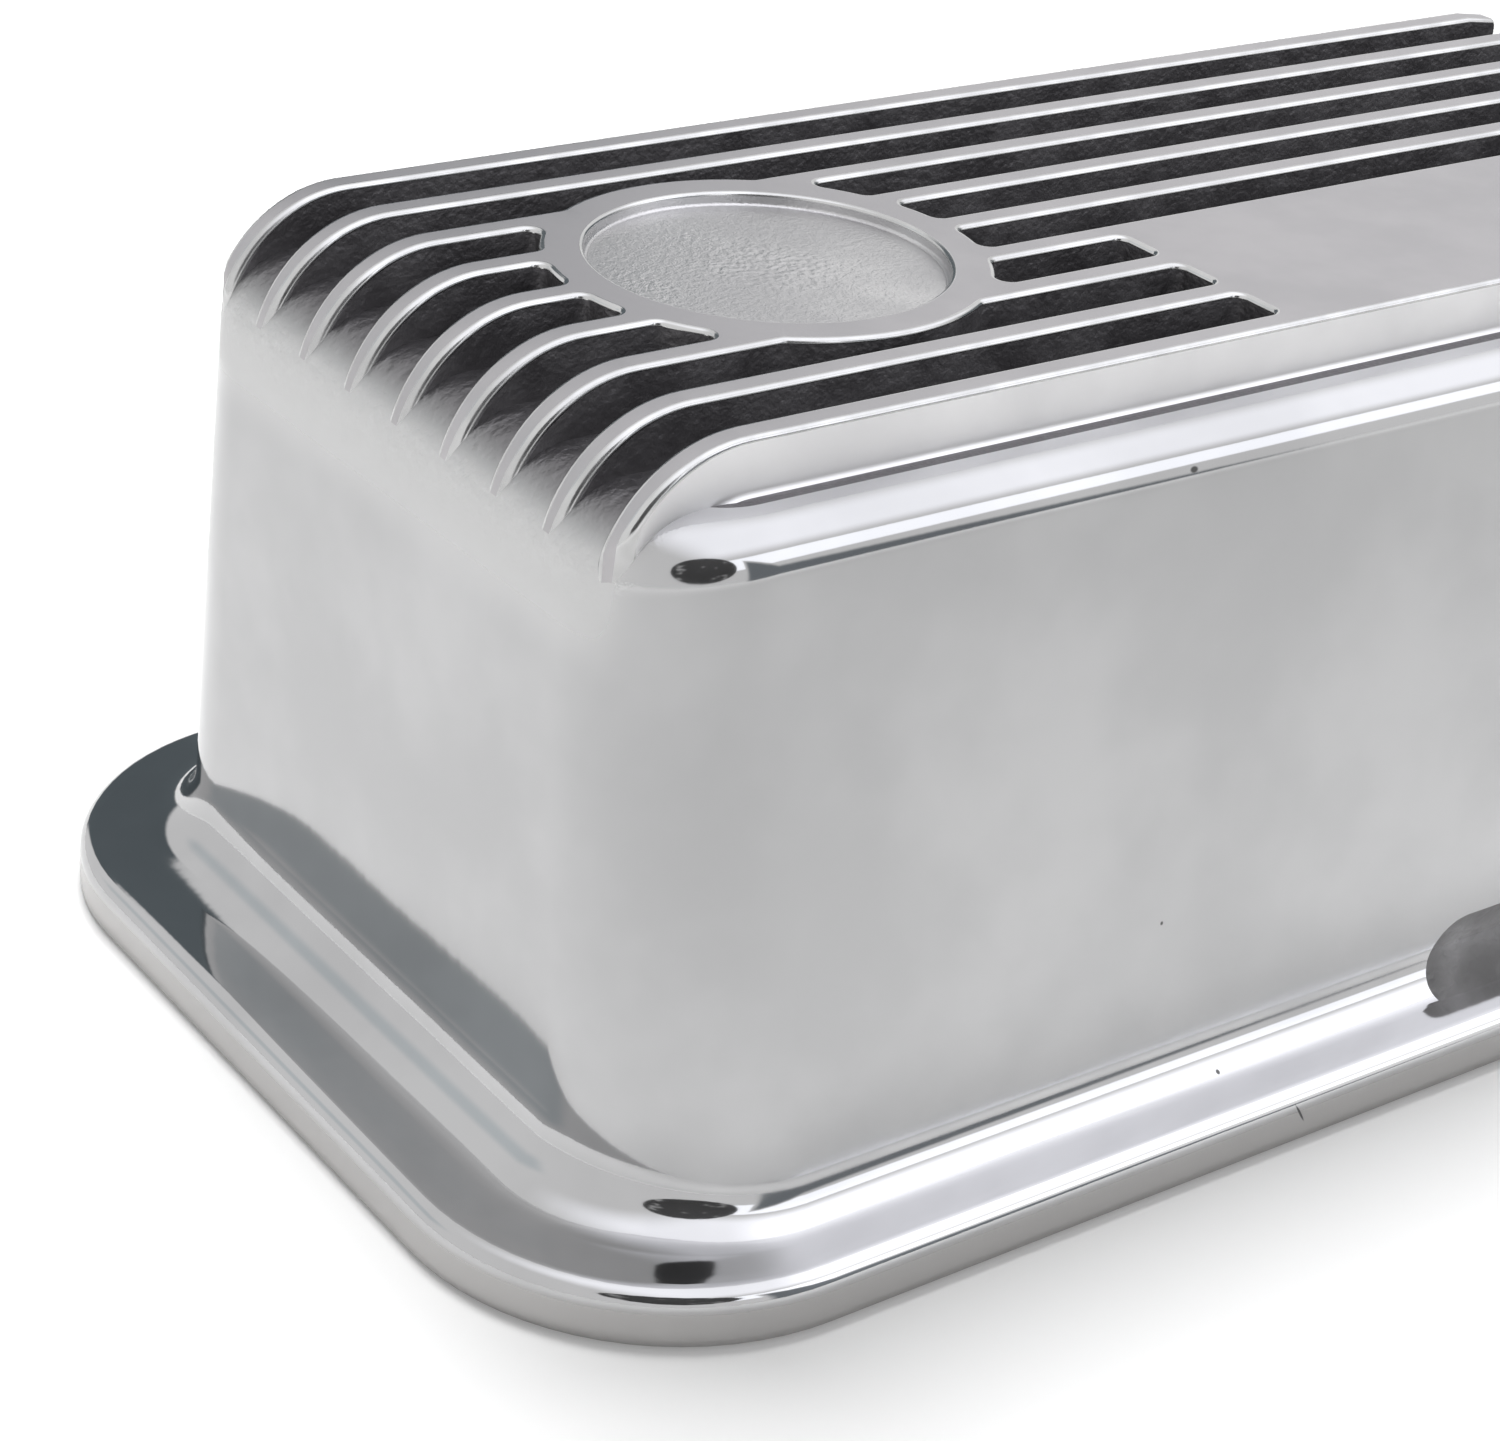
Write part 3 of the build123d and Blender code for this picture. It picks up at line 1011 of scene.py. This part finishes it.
# %% [markdown]
# ## The polished finish
# The flange, the foot and the shoulder mirror the room sharply, because a wheel reaches them easily. The flat
# walls are cloudier, and the short ends under the fins are only brushed down to the casting. The sawn side
# of the flange is darker. All that is one metal, so it is one material whose roughness and tone
# depend on the height and on the distance from the middle, both read from the piece's own coordinates.

# %% Where each kind of polish lies
# A band says where a share starts and ends to change, in metres: along the cover, across it, or up.
END_ALONG, FINS_ACROSS = (0.224, 0.232), (0.044, 0.050)
END_FOOT_UP, SIDE_FOOT_UP, ROLL_UP = (0.024, 0.046), (0.0100, 0.0117), (0.0865, 0.0900)
BRUSHED_UP, SAWN_UP = (0.074, 0.084), (0.0045, 0.0055)
polished, tree, shader, place, base = finish(
    "polished_aluminium", 30.0, (0.11, 0.21), (0.51, 0.51, 0.515), (0.455, 0.455, 0.46),
    [(EVEN, 18.0, 0.00022), ((1.0, 1.0, 0.06), 320.0, 0.000008)], 4.0)
split = add_node(tree, "ShaderNodeSeparateXYZ", _0=place)
height = split.outputs["Z"]
from_middle = maths(tree, "ABSOLUTE", split.outputs["X"], 0.0)
from_axis = maths(tree, "ABSOLUTE", split.outputs["Y"], 0.0)
at_end = rising(tree, from_middle, END_ALONG)
along_side = maths(tree, "SUBTRACT", 1.0, at_end)
above_foot = maths(tree, "MAXIMUM", rising(tree, height, END_FOOT_UP),
                   times(tree, along_side, rising(tree, height, SIDE_FOOT_UP)))
wall_share = times(tree, above_foot, falling(tree, height, ROLL_UP))
between_fins = times(tree, at_end, falling(tree, from_axis, FINS_ACROSS))
brushed_share = times(tree, between_fins, rising(tree, height, BRUSHED_UP))
sawn_share = falling(tree, height, SAWN_UP)
print("nodes with the masks", len(tree.nodes))

# %% Roughness of the polish
MIRROR_ROUGH, SAWN_ROUGH, BRUSHED_ROUGH = 0.07, 0.32, 0.46
over_mirror = maths(tree, "SUBTRACT", base.outputs["Roughness"], MIRROR_ROUGH)
rough = maths(tree, "ADD", times(tree, over_mirror, wall_share), MIRROR_ROUGH)
rough = maths(tree, "MAXIMUM", rough, times(tree, sawn_share, SAWN_ROUGH))
rough = maths(tree, "MAXIMUM", rough, times(tree, brushed_share, BRUSHED_ROUGH))
tree.links.new(rough, shader.inputs["Roughness"])
print("roughness from", MIRROR_ROUGH, "to", BRUSHED_ROUGH)

# %% Tone of the polish, with a painted sheen and painted shade
FLANGE_FROM, FLANGE_TO, CAST_SHADE_UP = (0.0055, 0.0065), (0.0080, 0.0100), (0.0885, 0.0943)
SAWN_TONE, BRUSHED_TONE, FLANGE_SHEEN_TONE = (0.46, 0.452, 0.446), (0.55, 0.55, 0.55), (0.70, 0.70, 0.71)
CAST_SHADE_TONE, MARK_TONE = (0.16, 0.155, 0.16), (0.10, 0.10, 0.10)
# Along the sides the flange top and the foot take a lighter tone: a painted sheen for the bright reflection they
# show.
painted_sheen_share = times(tree, along_side, rising(tree, height, FLANGE_FROM))
painted_sheen_share = times(tree, painted_sheen_share, falling(tree, height, FLANGE_TO))
# Between the fin ends, near the top of the shoulder, the polish turns near-black: rough cast metal, and painted shade
# between the fins.
cast_shade_share = times(tree, between_fins, rising(tree, height, CAST_SHADE_UP))
tone, layers = base.outputs["Color"], ((sawn_share, SAWN_TONE), (brushed_share, BRUSHED_TONE),
                                       (painted_sheen_share, FLANGE_SHEEN_TONE), (cast_shade_share, CAST_SHADE_TONE))
for share, colour in layers:
    tone = mixed(tree, share, tone, (*colour, 1))
print("tones laid over each other", len(layers))

# %% Marks of use
MARKS = (  # place and turn of each, and half its size along, across and up
    ("nick on the shoulder", (-162.2, -56.1, 89.8), 0.0, (0.8, 1.2, 0.5)),
    ("dot on the front wall", (-163.7, -63.4, 30.2), 0.0, (0.3, 0.8, 0.35)),
    ("tick on the foot", (-155.0, -69.0, 8.0), 0.5, (0.45, 0.6, 0.3)),
    ("scratch on the flange", (-147.9, -77.8, 4.4), -1.0, (2.2, 1.0, 0.22)))
marks = 0.0
for name, spot, turn, half_size in MARKS:
    seen = add_node(tree, "ShaderNodeGroup", {"node_tree": mark}, Vector=place, Place=Vector(spot) * MM, Turn=turn,
                    Half_Size=Vector(half_size) * MM).outputs["Share"]
    marks = maths(tree, "MAXIMUM", seen, marks)
    print(name)
tree.links.new(mixed(tree, marks, tone, (*MARK_TONE, 1)), shader.inputs["Base Color"])

# %% Pits between the fin ends
PITS_UP = (0.080, 0.089)
smooth_normal = shader.inputs["Normal"].links[0].from_socket
pitted = times(tree, between_fins, rising(tree, height, PITS_UP))
pits = add_node(tree, "ShaderNodeGroup", {"node_tree": relief}, Vector=place, Stretch=EVEN, Scale=420.0,
                Detail=3.0, Depth=0.0005, Amount=pitted, Normal=smooth_normal)
tree.links.new(pits.outputs["Normal"], shader.inputs["Normal"])
print("polished nodes", len(tree.nodes))

# %% Put the finishes on
for slot, material in enumerate((polished, cast_and_shade, raw)):
    box.data.materials[slot] = material
for material in (sanded, cast_and_shade, pebbled, satin_and_sheen, buffed):
    deck.data.materials.append(material)
print("box faces: cast", sum(p.material_index == CAST_AND_SHADE for p in box.data.polygons),
      "inside", sum(p.material_index == INSIDE for p in box.data.polygons))

# %% [markdown]
# ## Pebbles in the recesses
# The floor of each recess is a field of small pebbles, a fraction of a millimetre high. A bump would not
# break its outline, so the relief is real: a fine disc, and a Geometry Nodes group that follows its upper
# face and lifts every point by a pebble pattern. It is worn low away from the middle and fades at the rim. The
# group also hands over the material. The result is made a plain mesh, because a finished piece carries no
# modifiers.

# %% From a square to a disc
DISC_STEPS, DISC_RADIUS, DISC_DEPTH = 190, 23.0, 0.8


def square_to_disc(a, b):
    """Bends a square, -1 to 1 each way, into a round disc without crowding its middle."""
    if a == 0 and b == 0:
        return 0.0, 0.0
    if abs(a) > abs(b):
        turn = math.pi / 4 * b / a
        return a * math.cos(turn), a * math.sin(turn)
    turn = math.pi / 4 * a / b
    return b * math.sin(turn), b * math.cos(turn)


print("a step of the disc is", round(2 * DISC_RADIUS / DISC_STEPS, 3), "mm")

# %% A fine disc for a recess floor


def floor_disc(side):
    """Points and faces of one closed disc, flat on top, with the given end's place."""
    count, floor_z = DISC_STEPS + 1, HEIGHT - RECESS_DEPTH
    points, faces = [], []
    for row in range(count):
        for column in range(count):
            x, y = square_to_disc(2 * column / DISC_STEPS - 1, 2 * row / DISC_STEPS - 1)
            points.append((side * RING_X + DISC_RADIUS * x, DISC_RADIUS * y, floor_z))
    for row in range(DISC_STEPS):
        for column in range(DISC_STEPS):
            a = row * count + column
            faces.append((a, a + 1, a + count + 1, a + count))
    rim = list(range(count)) + [r * count + DISC_STEPS for r in range(1, count)]
    rim += [DISC_STEPS * count + c for c in range(DISC_STEPS - 1, -1, -1)]
    rim += [r * count for r in range(DISC_STEPS - 1, 0, -1)]
    low = len(points)
    points += [(points[a][0], points[a][1], floor_z - DISC_DEPTH) for a in rim]
    for step in range(len(rim)):
        after = (step + 1) % len(rim)
        faces.append((rim[after], rim[step], low + step, low + after))
    faces.append(tuple(range(low, low + len(rim)))[::-1])
    return points, faces


points, faces = floor_disc(-1)
other_points, other_faces = floor_disc(1)
faces += [tuple(corner + len(points) for corner in face) for face in other_faces]
floors = mesh_object("recess_floors", points + other_points, faces)

# %% Geometry Nodes that raise the pebbles
FLANK_BAND = (0.1, 0.75)  # from a pebble's middle to the foot of its flank, in pebble sizes
WORN_BAND, WORN_LOW, RIM_BAND = (0.15, 0.50), 0.35, (0.90, 0.985)  # in radii of the floor
pebbles, given, result = node_group(
    "Pebbled surface", "GeometryNodeTree",
    [("Geometry", "NodeSocketGeometry", None), ("Pebble Size", VALUE, 0.001), ("Pebble Height", VALUE, 0.0001),
     ("Level", VALUE, 0.1), ("Centre", VALUE, 0.1), ("Radius", VALUE, 0.02),
     ("Material", "NodeSocketMaterial", None)],
    [("Geometry", "NodeSocketGeometry")])
position = add_node(pebbles, "GeometryNodeInputPosition").outputs[0]
scale = maths(pebbles, "DIVIDE", 1.0, given.outputs["Pebble Size"])
cells = add_node(pebbles, "ShaderNodeTexVoronoi", {"feature": "SMOOTH_F1"}, Vector=position, Scale=scale,
                 Smoothness=0.15).outputs["Distance"]
rise = falling(pebbles, cells, FLANK_BAND)
split = add_node(pebbles, "ShaderNodeSeparateXYZ", _0=position)
from_middle = maths(pebbles, "ABSOLUTE", split.outputs["X"], 0.0)
from_centre = maths(pebbles, "SUBTRACT", from_middle, given.outputs["Centre"])
flat = add_node(pebbles, "ShaderNodeCombineXYZ", _0=from_centre, _1=split.outputs["Y"]).outputs[0]
away = vector_maths(pebbles, "LENGTH", flat).outputs["Value"]
share = maths(pebbles, "DIVIDE", away, given.outputs["Radius"])
worn = ramp(pebbles, share, *WORN_BAND, 1.0, WORN_LOW)
fade = times(pebbles, worn, falling(pebbles, share, RIM_BAND))
print(pebbles.name, "pattern nodes", len(pebbles.nodes))

# %% Lift the top of the disc and hand over its material
lift = times(pebbles, times(pebbles, rise, fade), given.outputs["Pebble Height"])
on_top = add_node(pebbles, "FunctionNodeCompare", {"data_type": "FLOAT", "operation": "GREATER_THAN"},
                  _0=split.outputs["Z"], _1=given.outputs["Level"]).outputs[0]
offset = add_node(pebbles, "ShaderNodeCombineXYZ", _2=lift).outputs[0]
moved = add_node(pebbles, "GeometryNodeSetPosition", Geometry=given.outputs["Geometry"], Selection=on_top,
                 Offset=offset).outputs[0]
shaded = add_node(pebbles, "GeometryNodeSetShadeSmooth", Geometry=moved, Shade_Smooth=True).outputs[0]
real = add_node(pebbles, "GeometryNodeRealizeInstances", Geometry=shaded).outputs[0]
dressed = add_node(pebbles, "GeometryNodeSetMaterial", Geometry=real, Material=given.outputs["Material"])
pebbles.links.new(dressed.outputs[0], result.inputs[0])
print(pebbles.name, "nodes", len(pebbles.nodes))

# %% Use the group on both floors
PEBBLE_SIZE, PEBBLE_HEIGHT = 0.9, 0.11
floors.data.materials.append(pebbled)
change = floors.modifiers.new("pebbles", "NODES")
change.node_group = pebbles
sockets = {item.name: item.identifier for item in pebbles.interface.items_tree if item.in_out == "INPUT"}
for name, value in (("Pebble Size", PEBBLE_SIZE * MM), ("Pebble Height", PEBBLE_HEIGHT * MM), ("Centre", RING_X * MM),
                    ("Level", (HEIGHT - RECESS_DEPTH - DISC_DEPTH / 2) * MM), ("Radius", DISC_RADIUS * MM),
                    ("Material", pebbled)):
    change[sockets[name]] = value
settle(floors, change)
heights = [v.co.z for v in floors.data.vertices]
print("pebbled floors: faces", len(floors.data.polygons), "highest", round(max(heights) / MM, 3))

# %% [markdown]
# ## Hand the pieces over
# The real cover is one casting, so all three pieces belong to its one body, and the box takes the place of the
# CAD model's plain mesh.

# %% Tell the frame what each piece is
for piece in (box, deck, floors):
    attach(piece, "root")
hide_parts("valve_cover_casting")
print("pieces", box.name, deck.name, floors.name)

# %% [markdown]
# ## Studio
# The cover stands on a pale floor in a white surround. A picture of a studio on a sphere could light it too,
# but a floor takes a real contact shadow, and plain cards are easy to move and each explain one band on
# the metal.

# %% A card, and what each ray sees


def card(name, corners, material):
    """A flat sheet between corners given in metres, with its own coordinates from 0 to 1 both ways."""
    mesh = bpy.data.meshes.new(name)
    mesh.from_pydata([Vector(c) for c in corners], [], [tuple(range(len(corners)))])
    if len(corners) == 4:
        mesh.uv_layers.new(name="UVMap").data.foreach_set("uv", [0, 0, 1, 0, 1, 1, 0, 1])
    mesh.materials.append(material)
    piece = bpy.data.objects.new(name, mesh)
    bpy.context.scene.collection.objects.link(piece)
    return piece


def seen_share(tree):
    """1 for rays from the camera, a mirror or glass, and 0 for the rays that carry light."""
    path = tree.nodes.new("ShaderNodeLightPath")
    share = maths(tree, "MAXIMUM", path.outputs["Is Camera Ray"], path.outputs["Is Glossy Ray"])
    return maths(tree, "MAXIMUM", share, path.outputs["Is Transmission Ray"])


print("studio helpers ready")

# %% [markdown]
# The floor is matt paper. Far from the cover, where no lamp reaches, it glows by itself for rays from the camera
# or a mirror, so that it melts into the white surround. It lies a hair below the gasket face, because two faces
# in one plane flicker.

# %% Floor
GLOW_BAND, NEAR_GLOW, FAR_GLOW = (0.35, 1.2), 0.20, 0.88  # metres from the cover, and glow before and after
PAPER, UNDER = 4.0, -0.0002
paper, tree, shader = new_material("floor_paper", Base_Color=(0.8, 0.8, 0.8, 1), Roughness=0.9,
                                   Specular_IOR_Level=0.0, Emission_Color=(1, 1, 1, 1))
place = tree.nodes.new("ShaderNodeTexCoord").outputs["Object"]
away = vector_maths(tree, "LENGTH", place).outputs["Value"]
glow = times(tree, seen_share(tree), ramp(tree, away, *GLOW_BAND, NEAR_GLOW, FAR_GLOW))
tree.links.new(glow, shader.inputs["Emission Strength"])
card("floor", [(-PAPER, -PAPER, UNDER), (PAPER, -PAPER, UNDER), (PAPER, PAPER, UNDER), (-PAPER, PAPER, UNDER)], paper)
print("floor", 2 * PAPER, "m square")

# %% Surround
world = bpy.data.worlds.new("surround")
bpy.context.scene.world = world
world.use_nodes = True
tree = world.node_tree
LIGHT_SHARE = 0.15  # how much of the white surround lights the scene
level = add_node(tree, "ShaderNodeMapRange", Value=seen_share(tree), To_Min=LIGHT_SHARE, To_Max=1.0)
tree.nodes["Background"].inputs["Color"].default_value = (1, 1, 1, 1)
tree.links.new(level.outputs["Result"], tree.nodes["Background"].inputs["Strength"])
print("surround lights at", LIGHT_SHARE)

# %% [markdown]
# What a mirror shows depends on where it is looked at from, so the camera's place and direction are fixed
# before anything is put up for the metal to mirror.

# %% Where the camera stands
VIEW_AZIMUTH, VIEW_ELEVATION, VIEW_ROLL = math.radians(52.511), math.radians(-27.738), math.radians(4.728)
CAMERA_PLACE = Vector((-0.42951, -0.32082, 0.24681))
LENS = 80.26
ahead_flat = Vector((math.cos(VIEW_AZIMUTH), math.sin(VIEW_AZIMUTH), 0))
aside_flat = Vector((math.sin(VIEW_AZIMUTH), -math.cos(VIEW_AZIMUTH), 0))
print("camera is", round(CAMERA_PLACE.length, 3), "m from the middle of the cover")

# %% [markdown]
# ## What the metal mirrors
# Polished metal shows the room more than itself. A bright window in front gives the shoulder its white
# streak. A dark rail under it draws the line below that streak, and gets lower to one side so that the line
# tapers off. Dark cloth behind darkens the far corner of the flange. Each is a card that melts into the white
# room at its edges, so nothing ends in a hard line, and only reflections see it. The floor has a lamp of its
# own, which the metal doesn't see.

# %% Group for soft edges
soft_edge, given, result = node_group(
    "Soft edge", "ShaderNodeTree",
    [("Vector", VECTOR, None), ("Side Fade", VALUE, 0.2), ("Top Fade", VALUE, 0.2), ("Foot Fade", VALUE, 0.2)],
    [("Share", VALUE)])
split = add_node(soft_edge, "ShaderNodeSeparateXYZ", _0=given.outputs["Vector"])
across, upward = split.outputs["X"], split.outputs["Y"]
nearest = maths(soft_edge, "MINIMUM", across, maths(soft_edge, "SUBTRACT", 1.0, across))
parts = [(nearest, "Side Fade"), (maths(soft_edge, "SUBTRACT", 1.0, upward), "Top Fade"), (upward, "Foot Fade")]
share = 1.0
for distance, fade in parts:
    step = rising(soft_edge, maths(soft_edge, "DIVIDE", distance, given.outputs[fade]), (0.0, 1.0))
    share = times(soft_edge, step, share)
soft_edge.links.new(share, result.inputs["Share"])
print(soft_edge.name, "nodes", len(soft_edge.nodes))

# %% Cloth with soft edges


def soft_cloth(name, glow, fades):
    """Cloth of a known brightness that fades to the white of the room at its edges."""
    material, tree, shader = new_material(name, Base_Color=(0, 0, 0, 1), Roughness=1.0, Specular_IOR_Level=0.0,
                                          Emission_Strength=1.0)
    place = tree.nodes.new("ShaderNodeTexCoord").outputs["UV"]
    share = add_node(tree, "ShaderNodeGroup", {"node_tree": soft_edge}, Vector=place, Side_Fade=fades[0],
                     Top_Fade=fades[1], Foot_Fade=fades[2]).outputs["Share"]
    tree.links.new(mixed(tree, share, (1, 1, 1, 1), (*glow, 1)), shader.inputs["Emission Color"])
    return material


print("soft cloth ready")

# %% Cards that only reflections see


def unseen(piece):
    """Lets only reflections see a piece of the studio."""
    piece.visible_camera = piece.visible_diffuse = piece.visible_shadow = False


def upright(name, foot_a, foot_b, low, high, glow, fades, narrow=1.0):
    """A card that stands upright between two points of the floor, and may be lower at the second."""
    (ax, ay), (bx, by) = foot_a, foot_b
    corners = [(ax, ay, low), (bx, by, low), (bx, by, low + narrow * (high - low)), (ax, ay, high)]
    unseen(card(name, corners, soft_cloth(name + "_cloth", glow, fades)))
    print(name, "from", low, "to", high, "m")


print("upright cards ready")

# %% The window, the rail and the cloths
DARK, RAIL, GREY, WINDOW = (0.14, 0.165, 0.18), (0.24, 0.26, 0.28), (0.78, 0.83, 0.85), (2.0, 2.03, 2.13)
upright("window", (-1.9, -1.6), (2.8, -1.6), 0.62, 3.4, WINDOW, (0.2, 0.45, 0.02))
upright("rail", (-0.1, -1.58), (1.3, -1.58), 0.0, 1.2, RAIL, (0.08, 0.15, 0.02), 0.08)
upright("cloth_back", (-0.3, 1.0), (0.55, 1.0), 0.0, 0.8, DARK, (0.08, 0.08, 0.05))
upright("cloth_right", (1.4, 1.0), (1.4, -0.6), 0.0, 0.7, DARK, (0.1, 0.3, 0.05))
upright("cloth_left", (-1.5, 0.7), (-0.7, 1.5), 0.5, 1.2, GREY, (0.3, 0.4, 0.4))

# %% Ceiling
CEILING_Z, LEFT, RIGHT, NEAR, FAR = 1.3, -1.3, 2.4, -1.5, 0.9
CEILING, CEILING_FADES = (1.75, 1.76, 1.84), (0.25, 0.4, 0.3)
ceiling_corners = [(LEFT, NEAR, CEILING_Z), (RIGHT, NEAR, CEILING_Z), (RIGHT, FAR, CEILING_Z), (LEFT, FAR, CEILING_Z)]
unseen(card("ceiling", ceiling_corners, soft_cloth("ceiling_cloth", CEILING, CEILING_FADES)))
print("ceiling at", CEILING_Z, "m")

# %% Lamp for the floor
LAMP_AZIMUTH, LAMP_OFFSET, LAMP_Z = math.radians(100), 0.36, 1.2
LAMP_SIZE, LAMP_RADIANCE = 0.5, 23.5
light = bpy.data.lights.new("floor_lamp", "AREA")
light.shape, light.size = "SQUARE", LAMP_SIZE
light.energy = LAMP_RADIANCE * math.pi * LAMP_SIZE**2
lamp = bpy.data.objects.new("floor_lamp", light)
lamp.location = (LAMP_OFFSET * math.cos(LAMP_AZIMUTH), LAMP_OFFSET * math.sin(LAMP_AZIMUTH), LAMP_Z)
lamp.rotation_euler = (-lamp.location).to_track_quat("-Z", "Y").to_euler()
bpy.context.scene.collection.objects.link(lamp)
lamp.visible_camera = lamp.visible_glossy = False
print("lamp at", [round(v, 2) for v in lamp.location])

# %% [markdown]
# Whoever looks at polished metal from near by sees themselves in its round corners, as a small dark shape. A dark
# ring of cards round the camera would do, but one round patch just behind it is simpler, with a few pale spots so
# that it doesn't look like a hole.

# %% What stands behind the camera
EYE_BACK, BODY_ASIDE, BODY_UP, BODY_SIZE, BODY_CORNERS = 0.04, 0.06, 0.06, 0.2, 32
PATCH_BAND, PATCH_GLOW = (0.55, 0.7), (0.04, 0.5)
body_cloth, tree, shader = new_material("camera_cloth", Base_Color=(0.02, 0.02, 0.02, 1), Roughness=0.9,
                                        Emission_Color=(1, 1, 1, 1))
place = tree.nodes.new("ShaderNodeTexCoord").outputs["Object"]
patches = add_node(tree, "ShaderNodeTexNoise", Vector=place, Scale=16.0, Detail=2.0).outputs["Fac"]
tree.links.new(ramp(tree, patches, *PATCH_BAND, *PATCH_GLOW), shader.inputs["Emission Strength"])
eye = CAMERA_PLACE - EYE_BACK * ahead_flat
turns = [math.tau * step / BODY_CORNERS for step in range(BODY_CORNERS)]
rim = [eye + (BODY_ASIDE + BODY_SIZE * math.cos(t)) * aside_flat
       + Vector((0, 0, BODY_UP + BODY_SIZE * math.sin(t))) for t in turns]
unseen(card("camera_body", rim, body_cloth))
print("camera body at", [round(v, 2) for v in eye])

# %% [markdown]
# ## Camera
# A long lens from a little above one corner, so that the end, the front and the roof all show. Its three
# axes are built from the direction of view, the horizontal and a small roll, which is easier to read and
# to adjust than three Euler angles.

# %% Camera
ahead = ahead_flat * math.cos(VIEW_ELEVATION) + Vector((0, 0, math.sin(VIEW_ELEVATION)))
up = aside_flat.cross(ahead)
right = aside_flat * math.cos(VIEW_ROLL) + up * math.sin(VIEW_ROLL)
top = up * math.cos(VIEW_ROLL) - aside_flat * math.sin(VIEW_ROLL)
camera_data = bpy.data.cameras.new("camera")
camera_data.sensor_fit, camera_data.sensor_width, camera_data.lens = "HORIZONTAL", 36.0, LENS
camera_data.clip_start = 0.01
camera = bpy.data.objects.new("camera", camera_data)
camera.matrix_world = Matrix((right, top, -ahead)).transposed().to_4x4()
camera.matrix_world.translation = CAMERA_PLACE
bpy.context.scene.collection.objects.link(camera)
bpy.context.scene.camera = camera
bpy.context.scene.view_settings.view_transform = "Standard"
print("camera turned", [round(math.degrees(angle), 1) for angle in camera.matrix_world.to_euler()])
